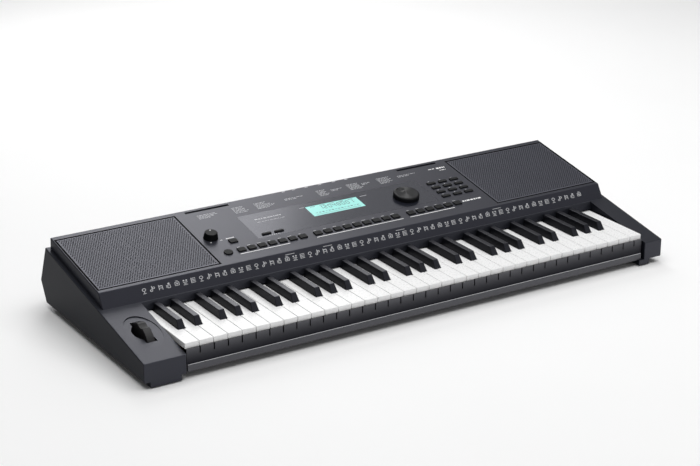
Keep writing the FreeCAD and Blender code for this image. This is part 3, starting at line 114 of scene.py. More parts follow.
def surface(name, shades, rough, grain_mm, depth_mm, shader, cloud_mm=60.0, stretch=(1, 1, 1), radial=False,
            ends=None, painted_shade_fade=None):
    """A surface with a grain that bumps it and roughens it, and a slow drift between two shades.
    A radial one has been turned: its highlights run out from its middle.
    Where ends is given, walls that face left or right get that lower specular level, as painted shade that
    darkens them.
    Where a fade is given as two heights, coat and shine are whole below the first height, and grow from bare
    at the first height to whole at the second: painted shade, darkest just above the first height."""
    material = bpy.data.materials.new(name)
    material.use_nodes = True
    tree = material.node_tree
    tree.nodes.clear()
    place = add(tree, "ShaderNodeTexCoord").outputs["Object"]
    run = add(tree, "ShaderNodeMapping", {"Vector": place, "Scale": stretch}).outputs["Vector"]
    # Fine grain, really about a tenth of a millimetre, is too fine to show and is drawn at 0.4 to 0.9 mm.
    # Where a pixel is larger than that, it only softens the highlights.
    grain = add(tree, "ShaderNodeTexNoise", {"Vector": run, "Scale": 1 / (grain_mm * MM), "Detail": 3.0})
    cloud = add(tree, "ShaderNodeTexNoise", {"Vector": place, "Scale": 1 / (cloud_mm * MM), "Detail": 4.0})
    tone = add(tree, "ShaderNodeMix", {"Factor": cloud.outputs["Fac"], MIX_A: linear(shades[0]),
                                       MIX_B: linear(shades[1])}, data_type="RGBA")
    gloss = add(tree, "ShaderNodeMapRange", {"Value": grain.outputs["Fac"], "To Min": rough[0],
                                             "To Max": rough[1]})
    bump = add(tree, "ShaderNodeBump", {"Height": grain.outputs["Fac"], "Distance": depth_mm * MM})
    shade = add(tree, "ShaderNodeBsdfPrincipled", {"Base Color": tone.outputs[MIX_RESULT],
                                                   "Roughness": gloss.outputs["Result"],
                                                   "Normal": bump.outputs["Normal"], **shader})
    if radial:
        rings = add(tree, "ShaderNodeTangent", direction_type="RADIAL", axis="Z")
        tree.links.new(rings.outputs["Tangent"], shade.inputs["Tangent"])
    # Painted shade: walls facing left or right reflect less, so they come out darker.
    if ends is not None:
        facing = add(tree, "ShaderNodeSeparateXYZ", {0: add(tree, "ShaderNodeNewGeometry").outputs["Normal"]})
        turned = add(tree, "ShaderNodeMath", {0: facing.outputs["X"]}, operation="ABSOLUTE")
        level = add(tree, "ShaderNodeMapRange", {"Value": turned.outputs[0], "From Min": SIDEWAYS,
                                                 "To Min": FULL_SHINE, "To Max": ends})
        tree.links.new(level.outputs["Result"], shade.inputs["Specular IOR Level"])
    # Painted shade: coat and shine fade out from the second height down to the first, darkening the surface
    # there.
    if painted_shade_fade is not None:
        foot, head = painted_shade_fade
        height = add(tree, "ShaderNodeSeparateXYZ", {0: place}).outputs["Z"]
        rise = add(tree, "ShaderNodeMapRange", {"Value": height, "From Min": foot * MM,
                                                "From Max": head * MM})
        curve = add(tree, "ShaderNodeMath", {0: rise.outputs["Result"], 1: FADE_CURVE}, operation="POWER")
        below = add(tree, "ShaderNodeMath", {0: height, 1: foot * MM}, operation="LESS_THAN")
        coat = add(tree, "ShaderNodeMath", {0: curve.outputs[0], 1: below.outputs[0]}, operation="MAXIMUM")
        shine = add(tree, "ShaderNodeMapRange", {"Value": coat.outputs[0], "To Min": BARE_SHINE,
                                                 "To Max": FULL_SHINE})
        tree.links.new(coat.outputs[0], shade.inputs["Coat Weight"])
        tree.links.new(shine.outputs["Result"], shade.inputs["Specular IOR Level"])
    add(tree, "ShaderNodeOutputMaterial", {"Surface": shade.outputs["BSDF"]})
    return material


COOL = linear("#ebecff")
# Spark-eroded ABS in charcoal: a dull skin whose grain breaks up reflections, with painted shade on the end
# walls.
case_abs = surface("abs_spark_eroded_charcoal", ("#14161b", "#191b21"), (0.35, 0.45), 0.9, 0.015,
                   {"IOR": 1.53, "Specular Tint": COOL}, ends=0.05)
# The panel's ABS is moulded a shade lighter and smoother, so the light of the studio lies on it as a sheen.
# Its end walls reflect less, as painted shade.
panel_abs = surface("abs_fine_satin_graphite", ("#1f2026", "#24252c"), (0.34, 0.42), 0.8, 0.008,
                    {"IOR": 1.53, "Specular Tint": COOL}, ends=0.05)
# ABS of the rail and the slip below the keys, under a clear lacquer that mirrors the bright floor in front.
# On the slip, coat and shine fade out downwards to dull black at its foot: painted shade, darker towards the
# bottom.
rail_abs = surface("abs_lacquered_charcoal", ("#1b1b1f", "#202025"), (0.38, 0.48), 0.9, 0.01,
                   {"IOR": 1.53, "Coat Roughness": 0.3, "Specular Tint": COOL}, painted_shade_fade=(RAIL_TOP, SLIP_TOP))
# Perforated steel sheet under grey powder coat: soft highlights on the webs, black in the holes.
grille_steel = surface("steel_perforated_powder_coat", ("#3e3f46", "#45464e"), (0.36, 0.48), 0.6, 0.01,
                       {"IOR": 1.5, "Specular Tint": COOL})
# Speaker cloth behind the sheet: matt black, so the holes read as dark dots. It also lines the walls of the
# gap round the sheet, as painted shade.
grille_cloth_and_gap_shade = surface("polyester_speaker_cloth_and_gap_shade", ("#060607", "#0a0a0b"), (0.85, 0.95), 0.5, 0.05,
                       {"IOR": 1.46, "Specular IOR Level": 0.2})
# Cast acrylic with a dark back print: a flat face, lightly hazed, that mirrors the studio.
display_acrylic = surface("acrylic_dark_gloss", ("#1b1d24", "#20222a"), (0.20, 0.24), 6.0, 0.002,
                          {"IOR": 1.49, "Specular Tint": COOL}, cloud_mm=120.0)
# Display film: a clear turquoise field that is lit from behind.
lcd_film = surface("lcd_film_turquoise", ("#86cbc4", "#94d4ce"), (0.18, 0.24), 0.5, 0.002,
                   {"IOR": 1.52, "Emission Color": linear("#94d6cf"), "Emission Strength": 0.3},
                   cloud_mm=30.0)
# Liquid-crystal segments: dark green-grey strokes without a shine of their own.
lcd_ink = surface("lcd_segment_dark", ("#28504d", "#315b57"), (0.3, 0.4), 0.5, 0.001, {"IOR": 1.5})
# Polished ABS for the white keys: dense white with a clear, slightly soft mirror on it.
key_white = surface("abs_polished_white", ("#f0f0f0", "#f4f4f4"), (0.24, 0.32), 3.0, 0.003,
                    {"IOR": 1.53, "Specular IOR Level": 0.3}, cloud_mm=90.0)
# Satin ABS for the black keys, textured for the fingers: long grey highlights on the crowns, painted shade on
# the flanks.
key_black = surface("abs_satin_black", ("#0c0d10", "#121317"), (0.28, 0.38), 0.7, 0.008,
                    {"IOR": 1.53, "Specular Tint": COOL}, cloud_mm=40.0, ends=0.12)
# Silicone rubber buttons: soft and dull, with a faint bloom at their edges.
button_silicone = surface("silicone_rubber_dark", ("#0a0b0d", "#0f1013"), (0.5, 0.65), 0.5, 0.015,
                          {"IOR": 1.43, "Specular IOR Level": 0.25, "Sheen Weight": 0.02,
                           "Sheen Roughness": 0.5})
# Moulded ABS knob: satin black that gives back little light.
knob_abs = surface("abs_satin_knob_black", ("#08090b", "#0d0e10"), (0.34, 0.46), 0.6, 0.01,
                   {"IOR": 1.53, "Specular IOR Level": 0.07})
# Turned ABS dial: fine rings left by the tool draw its highlight out from the middle.
dial_abs = surface("abs_turned_black", ("#0b0c0e", "#101114"), (0.36, 0.44), 0.6, 0.004,
                   {"IOR": 1.53, "Specular IOR Level": 0.3, "Anisotropic": 0.9}, radial=True)
# Thermoplastic rubber of the wheel: dull black with a fine tooth.
wheel_rubber = surface("tpe_soft_black", ("#101011", "#17171a"), (0.5, 0.66), 0.5, 0.02, {"IOR": 1.5})
# Screen-print ink: thin, flat and white.
print_ink = surface("ink_screen_print_white", ("#e6e6e6", "#eeeeee"), (0.5, 0.6), 0.4, 0.002, {"IOR": 1.5})
# Screen-print ink, thinned: a grey that leaves small print quiet. It also draws the painted highlight on the
# rail's edge.
grey_ink_and_highlight = surface("ink_grey_and_painted_highlight", ("#c6c7ca", "#d0d1d4"), (0.5, 0.6), 0.4, 0.002, {"IOR": 1.5})
# Zinc-plated steel: bright grey with fine drawn scratches.
zinc_steel = surface("steel_zinc_plated", ("#a9adb2", "#bcc0c4"), (0.28, 0.4), 0.4, 0.004, {"Metallic": 1.0},
                     stretch=(0.1, 1, 1))
# Glass-epoxy laminate under green solder mask: an even dark green with a soft shine.
board_laminate = surface("laminate_green_solder_mask", ("#12452a", "#175233"), (0.3, 0.42), 0.8, 0.01,
                         {"IOR": 1.55})
# Sintered ferrite: dull dark grey.
magnet_ferrite = surface("ferrite_sintered", ("#2b2b2d", "#353537"), (0.6, 0.75), 0.6, 0.02, {"IOR": 1.6})
# Pressed paper of the loudspeaker cones: fibrous and black.
cone_paper = surface("paper_pressed_black", ("#131312", "#1c1b1a"), (0.8, 0.92), 0.9, 0.05, {"IOR": 1.45})
# Pressed wool felt under the keys: a deep red with a soft nap.
stop_felt = surface("felt_wool_red", ("#6e1d1f", "#822729"), (0.88, 0.96), 0.7, 0.12,
                    {"IOR": 1.45, "Sheen Weight": 0.4})
# Nylon of the sockets and inner mouldings: plain black with a slight wax shine.
nylon_black = surface("nylon_moulded_black", ("#101112", "#16171a"), (0.4, 0.5), 0.6, 0.01, {"IOR": 1.53})
# Nitrile rubber of the feet: matt black.
foot_rubber = surface("rubber_nitrile_black", ("#0e0e0e", "#141414"), (0.7, 0.82), 0.5, 0.03, {"IOR": 1.52})
# Nickel-plated brass of the socket nuts: warm bright metal.
nickel = surface("brass_nickel_plated", ("#b8b5ad", "#c8c5bd"), (0.18, 0.28), 0.4, 0.003, {"Metallic": 1.0})
# Seamless backdrop paper: matt and almost white.
backdrop = surface("paper_backdrop_white", ("#f6f6f6", "#f9f9f9"), (0.85, 0.95), 2.0, 0.02, {"IOR": 1.4},
                   cloud_mm=400.0)

FINISHES = {
    case_abs: ["bottom_case", "left_end_block", "right_end_block", "key_cover_strip", "key_frame"],
    rail_abs: ["front_rail"],
    panel_abs: ["upper_case"],
    display_acrylic: ["display_window"],
    nylon_black: ["lcd_module", "volume_pot", "dial_encoder", "wheel_bracket", "wheel_sensor", "phones_jack",
                  "pedal_jack", "dc_inlet", "ribbon_cable"],
    key_white: ["key_c", "key_d", "key_e", "key_f", "key_g", "key_a", "key_b", "key_top_c"],
    key_black: ["key_c_sharp", "key_d_sharp", "key_f_sharp", "key_g_sharp", "key_a_sharp"],
    button_silicone: ["left_row_buttons", "middle_row_buttons", "right_row_buttons", "square_button",
                      "round_button", "slim_buttons", "keypad_buttons", "button_pads", "contact_strip"],
    knob_abs: ["volume_knob"],
    dial_abs: ["data_dial"],
    wheel_rubber: ["pitch_wheel"],
    board_laminate: ["contact_board", "panel_board", "main_board"],
    zinc_steel: ["key_pivot_rod", "key_springs", "speaker_baskets", "speaker_screws", "case_screws",
                 "keybed_screws", "board_screws", "wheel_spring", "usb_socket"],
    magnet_ferrite: ["speaker_magnets"],
    cone_paper: ["speaker_cones"],
    stop_felt: ["key_stop_felt"],
    foot_rubber: ["rubber_feet"],
    grille_steel: ["left_grille", "right_grille"],
}
for material, names in FINISHES.items():
    for name in names:
        NODES[name].data.materials.clear()
        NODES[name].data.materials.append(material)


# Pieces.
def piece(name, place, points, faces, material, body="case"):
    """A mesh whose points are given in a frame of the object."""
    mesh = bpy.data.meshes.new(name)
    mesh.from_pydata([place @ Vector(point) for point in points], [], faces)
    mesh.materials.append(material)
    made = bpy.data.objects.new(name, mesh)
    bpy.context.scene.collection.objects.link(made)
    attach(made, body)
    return made


def stamp(name, place, marks, lift, material, body="case"):
    """Flat print: each mark is a list of corners on a surface, and lies just above it."""
    points = []
    faces = []
    for mark in marks:
        faces.append(list(range(len(points), len(points) + len(mark))))
        points += [(x, s, lift) for x, s in mark]
    return piece(name, place, points, faces, material, body)


def patch(x0, x1, s0, s1):
    """A rectangle between its edges."""
    return [(x0, s0), (x1, s0), (x1, s1), (x0, s1)]


def bar(x, s, width, height):
    """A rectangle about its middle."""
    return patch(x - width / 2, x + width / 2, s - height / 2, s + height / 2)


def disc(x, s, r, sides):
    """A round mark about its middle."""
    turns = [2 * math.pi * i / sides for i in range(sides)]
    return [(x + r * math.cos(a), s + r * math.sin(a)) for a in turns]


def band(here, there, count):
    """Faces that join two closed rings of points, from the first point of each ring."""
    faces = []
    for k in range(count):
        m = (k + 1) % count
        faces.append((here + k, here + m, there + m, there + k))
    return faces


def extent(node, place):
    """Least and greatest coordinates of a modelled piece, in a frame of the object."""
    back = place.inverted() @ NODES[node].matrix_world
    points = [back @ vertex.co for vertex in NODES[node].data.vertices]
    return [(min(p[i] for p in points), max(p[i] for p in points)) for i in range(3)]


# Speaker grilles: a perforated sheet with a rolled edge, set over dark cloth with a shadow gap round it,
# whose walls carry the cloth as painted shade.
GRILLE_MARGIN = 1.9
GRILLE_RIM = 1.8
FRONT_RIM = 3.0
TRAY_GAP = 0.85
TRAY_TOP = -0.12
CLOTH_LIFT = 0.08
ROLL = 0.35
ROLL_MIDDLE = ROLL * 0.3
SHEET_T = 0.8
HOLE_PITCH = 4.0
HOLE_R = 1.35
HOLE_SIDES = 8
# Rows of a close-packed pattern are nearer than the holes in a row, by the height of an even triangle.
ROW_STEP = 0.866
OCTAGON = [(1, 0), (1, 1), (0, 1), (-1, 1), (-1, 0), (-1, -1), (0, -1), (1, -1)]


def perforated_sheet(name, x0, x1, s0, s1):
    """Holes with walls, every second row shifted by half a pitch, inside a plain rim with a rolled edge."""
    a0, a1 = x0 + GRILLE_RIM, x1 - GRILLE_RIM
    b0, b1 = s0 + FRONT_RIM, s1 - GRILLE_RIM
    columns = int((a1 - a0) / HOLE_PITCH)
    rows = int((b1 - b0) / (HOLE_PITCH * ROW_STEP))
    wide = (a1 - a0) / columns
    deep = (b1 - b0) / rows
    points = []
    faces = []
    for j in range(rows):
        s = b0 + (j + 0.5) * deep
        shift = j % 2
        for i in range(columns - shift):
            x = a0 + (i + 0.5 + 0.5 * shift) * wide
            web = len(points)
            top = web + HOLE_SIDES
            points += [(x + a * wide / 2, s + b * deep / 2, 0) for a, b in OCTAGON]
            for n in (0, -SHEET_T):
                points += [(a, b, n) for a, b in disc(x, s, HOLE_R, HOLE_SIDES)]
            faces += band(web, top, HOLE_SIDES) + band(top, top + HOLE_SIDES, HOLE_SIDES)
        if shift:
            for x in (a0 + wide / 4, a1 - wide / 4):
                faces.append(list(range(len(points), len(points) + 4)))
                points += [(a, b, 0) for a, b in bar(x, s, wide / 2, deep)]
    for inset, n in ((0, -ROLL), (ROLL_MIDDLE, -ROLL_MIDDLE), (ROLL, 0)):
        faces += band(len(points), len(points) + 4, 4)
        points += [(a, b, n) for a, b in patch(x0 + inset, x1 - inset, s0 + inset, s1 - inset)]
    points += [(a, b, 0) for a, b in patch(a0, a1, b0, b1)]
    return piece(name + "_sheet", PANEL, points, faces, grille_steel)


def cloth_and_gap_shade(name, outer, inner, low):
    """Cloth on the floor of the recess and round the edge of the sheet, turned up the recess's walls as
    painted shade that darkens the gap.
    """
    rings = [(outer, TRAY_TOP), (outer, low), (inner, low), (inner, -ROLL)]
    points = [(a, b, n) for edges, n in rings for a, b in patch(*edges)]
    faces = band(0, 4, 4) + band(4, 8, 4) + band(8, 12, 4) + [(8, 9, 10, 11)]
    return piece(name + "_cloth", PANEL, points, faces, grille_cloth_and_gap_shade)


for name in ("left_grille", "right_grille"):
    (x0, x1), (s0, s1), depths = extent(name, PANEL)
    low = depths[0]
    inner = (x0 + GRILLE_MARGIN, x1 - GRILLE_MARGIN, s0 + GRILLE_MARGIN, s1 - GRILLE_MARGIN)
    outer = (x0 - TRAY_GAP, x1 + TRAY_GAP, s0 - TRAY_GAP, s1 + TRAY_GAP)
    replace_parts(perforated_sheet(name, *inner), name)
    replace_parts(cloth_and_gap_shade(name, outer, inner, low + CLOTH_LIFT), name)

# Display film and its segments: a row of figures, tabs above it, and level bars and a line below it.
LCD_X = -1.3
LCD_S = 98.3
LCD_WIDTH = 97.5
LCD_DEPTH = 32.4
LCD_TOP = -0.4
FILM_LIFT = 0.06
SEGMENT_LIFT = 0.1
READOUT = (1, 2, 0, 4, 8, 0, 0, 1)
READOUT_X = LCD_X - 24
READOUT_S = LCD_S + 6.0
FIGURE_PITCH = 8.4
FIGURE_WIDTH = 4.8
FIGURE_HEIGHT = 9.4
FIGURE_STROKE = 1.4
TAB_COUNT = 5
TAB_X = LCD_X - 36
TAB_S = LCD_S + 13.2
TAB_PITCH = 18
TAB_SIZE = (9, 1.3)
LEVEL_COUNT = 14
LEVEL_X = LCD_X - 39
LEVEL_S = LCD_S - 7
LEVEL_PITCH = 6
LEVEL_WIDTH = 3.6
LEVEL_LEAST = 1.0
LEVEL_STEP = 0.6
BASE_S = LCD_S - 12.2
BASE_SIZE = (84, 0.7)
# Each segment's place across and up in a figure, and whether it lies flat.
SEGMENTS = {"a": (0, 1, True), "b": (0.5, 0.5, False), "c": (0.5, -0.5, False), "d": (0, -1, True),
            "e": (-0.5, -0.5, False), "f": (-0.5, 0.5, False), "g": (0, 0, True)}
FIGURES = {0: "abcdef", 1: "bc", 2: "abged", 4: "fgbc", 8: "abcdefg"}


def figure(value, x, s):
    """A seven-segment figure as bars."""
    marks = []
    for letter in FIGURES[value]:
        across, up, flat = SEGMENTS[letter]
        if flat:
            size = (FIGURE_WIDTH - FIGURE_STROKE, FIGURE_STROKE)
        else:
            size = (FIGURE_STROKE, FIGURE_HEIGHT / 2 - FIGURE_STROKE)
        marks.append(bar(x + across * FIGURE_WIDTH, s + up * FIGURE_HEIGHT / 2, *size))
    return marks


def lcd_marks():
    """All that the display shows."""
    marks = []
    for i, value in enumerate(READOUT):
        marks += figure(value, READOUT_X + FIGURE_PITCH * i, READOUT_S)
    for i in range(TAB_COUNT):
        marks.append(bar(TAB_X + TAB_PITCH * i, TAB_S, *TAB_SIZE))
    for i in range(LEVEL_COUNT):
        marks.append(bar(LEVEL_X + LEVEL_PITCH * i, LEVEL_S, LEVEL_WIDTH, LEVEL_LEAST + LEVEL_STEP * (i % 3)))
    marks.append(bar(LCD_X, BASE_S, *BASE_SIZE))
    return marks


stamp("lcd_film", PANEL, [bar(LCD_X, LCD_S, LCD_WIDTH, LCD_DEPTH)], LCD_TOP + FILM_LIFT, lcd_film)
stamp("lcd_segments", PANEL, lcd_marks(), LCD_TOP + SEGMENT_LIFT, lcd_ink)

# Print on the panel: a dash behind each button, lines under the groups, and broken bars for small print.
INK_LIFT = 0.04
FINE = 0.9
BUTTON_PITCH = 18.4
ROW_S = 32.0
# Middle and number of buttons of each row.
ROWS = {-156.7: 7, 0.0: 9, 150.0: 6}
DASH_S = ROW_S + 9.4
DASH_SHIFT = -1.0
DASH_LEAST = 4.2
DASH_STEP = 1.2
# Left and right ends of the line under each group.
GROUP_LINES = ((-219.4, -130.7), (-81.3, 82.5), (96.1, 184.1))
GROUP_LINE_S = 21.4
GROUP_LINE_HEIGHT = 1.5
# Marks by the knob: two dashes by middle and size, and a dot by middle, radius and sides.
KNOB_DASH = (-211.5, 71.4, 14.4, 1.8)
KNOB_DOT = (KNOB_X - 6.5, KNOB_S - 13.5, 1.1, 12)
KNOB_TICK = (-227.0, 70.5, 3.6, 1.1)
# Bold print: left end, place up the slope, width, height and the first bar's number.
BOLD_PRINT = ((208.0, 34.0, 37.0, 3.6, 3), (216.0, 150.5, 12.0, 2.0, 1), (232.0, 150.0, 17.0, 4.2, 2),
              (234.0, 142.0, 13.0, 1.6, 0))
# Lists of small print: left end, and the width of each line.
LISTS = {-165: (21, 18, 24, 20, 25, 22), -124: (24, 20, 27, 34, 30, 22), -6: (17, 14, 18, 15, 19, 16),
         53: (22, 20, 24, 21, 26, 22), 112: (25, 22, 26, 24, 25, 20)}
LIST_S = 155
LIST_PITCH = 3.4
# Pairs of lines between the lists: left end, and the width of the upper line.
PAIRS = {-69: 38, 20: 22, 80: 17, 152: 36}
PAIR_S = 150
PAIR_LOWER = 0.6
KNOB_LIST_X = -228
KNOB_LIST_S = 153
KNOB_LIST = (34, 37, 30, 20)
BACK_MARKS = (-57, -37.5, -13.5, 13, 40, 64)
BACK_MARK_S = 173.4
BACK_MARK_SIZE = (6, 1.6)
KEYPAD_X = 192.0
KEYPAD_S = 68.0
KEYPAD_ACROSS = 23
KEYPAD_UP = 15.3
KEYPAD_COLUMNS = 3
KEYPAD_ROWS = 4
KEYPAD_DASH = 3.0
# Display panel: lines of print as above, and dashes by middle and width.
DISPLAY_PRINT = ((-147, 108, 48, 2.0, 2), (-147, 99, 50, FINE, 1), (-150, 55.8, 21, FINE, 3))
DISPLAY_DASHES = ((-56.5, 114, 9), (60.5, 112.6, 13))
# Bars of broken print: the shortest, the step between lengths, the gap, and the rest too short for a bar.
BAR_LEAST = 2.4
BAR_STEP = 1.3
BAR_GAP = 1.3
BAR_REST = 1.5
# Lengths to choose from, and how far on among them each next bar is.
BAR_KINDS = 4
BAR_STRIDE = 7


def row_places(centre, count):
    """Places of the buttons of a row."""
    return [centre + (i - (count - 1) / 2) * BUTTON_PITCH for i in range(count)]


def words(x, s, width, height=1.0, number=0):
    """A line of print as bars of uneven length."""
    marks = []
    at = 0.0
    while at < width - BAR_REST:
        length = min(BAR_LEAST + BAR_STEP * (number * BAR_STRIDE % BAR_KINDS), width - at)
        marks.append(bar(x + at + length / 2, s, length, height))
        at += length + BAR_GAP
        number += 1
    return marks


def listing(x, s, widths):
    """A list of small print, one line under another."""
    marks = []
    for i, width in enumerate(widths):
        marks += words(x, s - LIST_PITCH * i, width, number=i + abs(x))
    return marks


def white_marks():
    """Lines under the groups, the marks by the knob and the bold print."""
    marks = [bar((x0 + x1) / 2, GROUP_LINE_S, x1 - x0, GROUP_LINE_HEIGHT) for x0, x1 in GROUP_LINES]
    marks += [bar(*KNOB_DASH), disc(*KNOB_DOT), bar(*KNOB_TICK)]
    for line in BOLD_PRINT:
        marks += words(*line)
    return marks


def grey_marks():
    """Dashes behind the buttons, the lists, the marks at the back edge and those of the keypad."""
    marks = []
    for centre, count in ROWS.items():
        for i, x in enumerate(row_places(centre, count)):
            marks.append(bar(x + DASH_SHIFT, DASH_S, DASH_LEAST + DASH_STEP * (i % 3), FINE))
    for x, widths in LISTS.items():
        marks += listing(x, LIST_S, widths)
    for x, width in PAIRS.items():
        marks += listing(x, PAIR_S, (width, width * PAIR_LOWER))
    marks += listing(KNOB_LIST_X, KNOB_LIST_S, KNOB_LIST)
    marks += [bar(x, BACK_MARK_S, *BACK_MARK_SIZE) for x in BACK_MARKS]
    for j in range(KEYPAD_ROWS):
        for i in range(KEYPAD_COLUMNS):
            marks.append(bar(KEYPAD_X + KEYPAD_ACROSS * i, KEYPAD_S + KEYPAD_UP * j, KEYPAD_DASH, FINE))
    return marks


def display_marks():
    """Print at the left of the display panel, and a dash at each side of the display."""
    marks = []
    for line in DISPLAY_PRINT:
        marks += words(*line)
    return marks + [bar(x, s, width, FINE) for x, s, width in DISPLAY_DASHES]


stamp("panel_print", PANEL, white_marks(), INK_LIFT, print_ink)
stamp("panel_small_print", PANEL, grey_marks(), INK_LIFT, grey_ink_and_highlight)
stamp("display_print", PANEL, display_marks(), INK_LIFT, grey_ink_and_highlight)

# Fascia print: a row of plain signs, one for each key, built from thin strokes, and four brackets above it.
SIGN_FIRST = -398.3
SIGN_PITCH = 13.7
SIGN_S = 15.0
SIGN_COUNT = 61
SIGN_WIDE = 1.2
SIGN_TALL = 0.9
STROKE = 0.9
# How far on among the plain signs each next one is.
SIGN_STEP = 4
# Number of the sign at the left end of each bracket.
BRACKETS = (18, 23, 33, 47)
BRACKET_S = SIGN_S + 7.0
BRACKET_WIDTH = 1.2 * SIGN_PITCH
BRACKET_HEIGHT = 0.7


def hoop(x, s, r, sides=12):
    """A circle drawn with the stroke's width."""
    outer = disc(x, s, r, sides)
    inner = disc(x, s, r - STROKE, sides)
    return [[outer[i], outer[(i + 1) % sides], inner[(i + 1) % sides], inner[i]] for i in range(sides)]


def frame_mark(x, s, width, height):
    """A rectangle drawn with the stroke's width."""
    w, h = (width - STROKE) / 2, (height - STROKE) / 2
    return [bar(x - w, s, STROKE, height), bar(x + w, s, STROKE, height), bar(x, s - h, width, STROKE),
            bar(x, s + h, width, STROKE)]


# Seven plain signs, each drawn about its middle.
SIGNS = (
    hoop(0, 1.6, 2.8) + [bar(0, -3.2, STROKE, 4.0), bar(0, -4.8, 4.6, STROKE)],
    [bar(-2.4, 0, STROKE, 8.6), bar(2.4, -0.8, STROKE, 7.0), bar(0, 2.4, 4.8, 1.4),
     bar(0, -1.2, 4.8, STROKE)],
    frame_mark(0, 0, 6.4, 6.4) + [disc(0, 0, 1.3, 8), bar(0, 4.8, 3.6, STROKE)],
    [bar(-2.8, 0, STROKE, 8.8)] + [bar(0.6, up, 5.2, STROKE) for up in (-3.6, -1.2, 1.2, 3.6)],
    hoop(-1.7, -2.2, 2.0) + hoop(1.7, 1.8, 2.0) + [bar(-0.4, 2.0, STROKE, 6.6)],
    frame_mark(0, -1.4, 4.2, 5.6) + [disc(0, 3.4, 1.6, 8), bar(-3.2, -1.0, STROKE, 5.0)],
    [disc(-2.0, 2.6, 1.3, 8), disc(2.0, 2.6, 1.3, 8), bar(0, -0.4, 6.2, STROKE), bar(0, -2.6, 4.0, STROKE),
     bar(0, -4.6, 6.2, STROKE)],
)


def fascia_marks():
    """The signs in their row, and the brackets."""
    marks = []
    for i in range(SIGN_COUNT):
        middle = SIGN_FIRST + SIGN_PITCH * i
        for mark in SIGNS[i * SIGN_STEP % len(SIGNS)]:
            marks.append([(middle + SIGN_WIDE * x, SIGN_S + SIGN_TALL * s) for x, s in mark])
    for i in BRACKETS:
        marks.append(bar(SIGN_FIRST + SIGN_PITCH * (i + 0.5), BRACKET_S, BRACKET_WIDTH, BRACKET_HEIGHT))
    return marks


stamp("fascia_print", FASCIA, fascia_marks(), INK_LIFT, grey_ink_and_highlight)

# Painted highlight along the rounded top edge of the front rail, between these turns of the round, in
# degrees.
HIGHLIGHT_TURNS = (36, 46, 56, 66)


def rail_painted_highlight():
    """A strip of painted highlight that follows the round of the edge, just above it."""
    low, high = (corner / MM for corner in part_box("front_rail"))
    r = EDGE_ROUND + INK_LIFT
    points = []
    for turn in HIGHLIGHT_TURNS:
        a = math.radians(turn)
        y = low.y + EDGE_ROUND - r * math.cos(a)
        z = RAIL_TOP - EDGE_ROUND + r * math.sin(a)
        points += [(low.x + EDGE_ROUND, y, z), (high.x - EDGE_ROUND, y, z)]
    faces = [(2 * i, 2 * i + 1, 2 * i + 3, 2 * i + 2) for i in range(len(HIGHLIGHT_TURNS) - 1)]
    return piece("rail_painted_highlight", OBJECT_FRAME, points, faces, grey_ink_and_highlight)


rail_painted_highlight()

# The pointer on the knob's top: its middle, radius and sides.
POINTER = (KNOB_X + 1.5, KNOB_S + 6.2, 1.3, 16)
POINTER_LIFT = 0.03
stamp("knob_mark", PANEL, [disc(*POINTER)], KNOB_TOP + POINTER_LIFT, grey_ink_and_highlight, "volume_knob")

# Socket nuts round the two jacks at the back.
NUT_OUTER = 6.0
NUT_INNER = 4.52
NUT_PROUD = 0.6
NUT_SUNK = 0.9
NUT_SIDES = 24


def socket_nut(name, node):
    """A ring round the mouth of a jack, which stands out of it and reaches back over it."""
    low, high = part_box(node)
    x = (low.x + high.x) / 2 / MM
    z = (low.z + high.z) / 2 / MM
    y = high.y / MM
    section = [(NUT_INNER, NUT_PROUD), (NUT_OUTER, NUT_PROUD), (NUT_OUTER, -NUT_SUNK), (NUT_INNER, -NUT_SUNK)]
    points = []
    faces = []
    for i in range(NUT_SIDES):
        a = 2 * math.pi * i / NUT_SIDES
        points += [(x + r * math.cos(a), y + out, z + r * math.sin(a)) for r, out in section]
        faces += band(4 * i, 4 * ((i + 1) % NUT_SIDES), 4)
    return piece(name, OBJECT_FRAME, points, faces, nickel)


socket_nut("phones_nut", "phones_jack")
socket_nut("pedal_nut", "pedal_jack")

# Studio: a white paper floor, a wide soft light overhead, and more soft lights behind and in front.

# Lengths are in metres here, and powers in watts.
FLOOR_REACH = 30.0
OBJECT_MIDDLE = (0, 0, 0.1)
WORLD_STRENGTH = 0.15

ground = bpy.data.meshes.new("studio_floor")
corners = patch(-FLOOR_REACH, FLOOR_REACH, -FLOOR_REACH, FLOOR_REACH)
ground.from_pydata([(x, y, 0) for x, y in corners], [], [(0, 1, 2, 3)])
ground.materials.append(backdrop)
ground_object = bpy.data.objects.new("studio_floor", ground)
bpy.context.scene.collection.objects.link(ground_object)


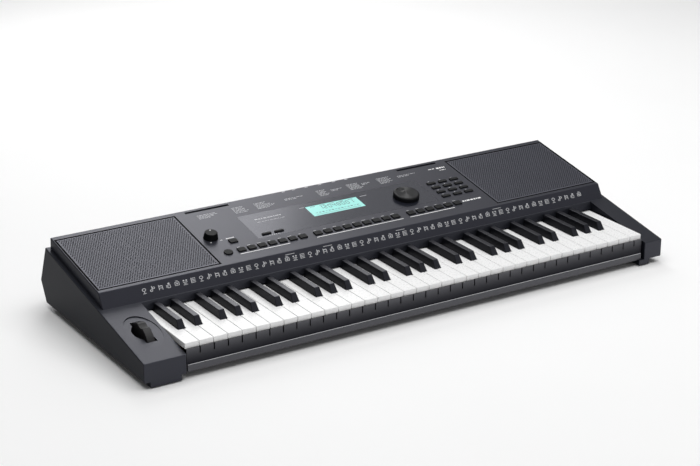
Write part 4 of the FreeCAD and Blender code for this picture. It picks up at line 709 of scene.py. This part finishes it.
def soft_light(name, place, target, size, power):
    """A rectangular light that faces a point."""
    light = bpy.data.lights.new(name, "AREA")
    light.shape = "RECTANGLE"
    light.size, light.size_y = size
    light.energy = power
    made = bpy.data.objects.new(name, light)
    made.location = place
    made.rotation_euler = (Vector(target) - Vector(place)).to_track_quat("-Z", "Y").to_euler()
    bpy.context.scene.collection.objects.link(made)


soft_light("overhead_softbox", (0.2, -0.3, 3.2), (0.2, -0.3, 0), (4.4, 3.8), 117)
soft_light("back_upper_softbox", (0.72, 1.9, 1.85), OBJECT_MIDDLE, (0.9, 0.9), 10)
soft_light("back_right_softbox", (1.65, 1.9, 1.85), OBJECT_MIDDLE, (0.7, 0.9), 1.4)
soft_light("back_lower_softbox", (0.55, 1.9, 0.95), OBJECT_MIDDLE, (1.2, 0.7), 5.5)
soft_light("front_softbox", (1.6, -2.1, 1.65), OBJECT_MIDDLE, (2.0, 1.0), 2.0)
soft_light("front_low_softbox", (1.4, -6.5, 1.2), (0, 0, 0.05), (6.0, 2.0), 50)

world = bpy.data.worlds.new("studio_white")
world.use_nodes = True
bpy.context.scene.world = world
background = world.node_tree.nodes["Background"]
background.inputs["Color"].default_value = linear("#ffffff")
background.inputs["Strength"].default_value = WORLD_STRENGTH

# Camera at the photograph's angle: a long lens looking down and to the right from the front left.

# Place, sensor and lens are in millimetres, and turns in degrees.
CAMERA_PLACE = (-1494.7, -2384.3, 1147.9)
CAMERA_DOWN = 20.67
CAMERA_RIGHT = 31.74
SENSOR_WIDTH = 36.0
LENS = 96.1
camera = bpy.data.cameras.new("photo_camera")
camera.sensor_width = SENSOR_WIDTH
camera.lens = LENS
camera.clip_end = 100.0
viewer = bpy.data.objects.new("photo_camera", camera)
viewer.location = Vector(CAMERA_PLACE) * MM
viewer.rotation_euler = Euler((math.radians(90 - CAMERA_DOWN), 0, math.radians(-CAMERA_RIGHT)))
bpy.context.scene.collection.objects.link(viewer)
bpy.context.scene.camera = viewer
bpy.context.scene.view_settings.view_transform = "Standard"

bpy.context.view_layer.update()
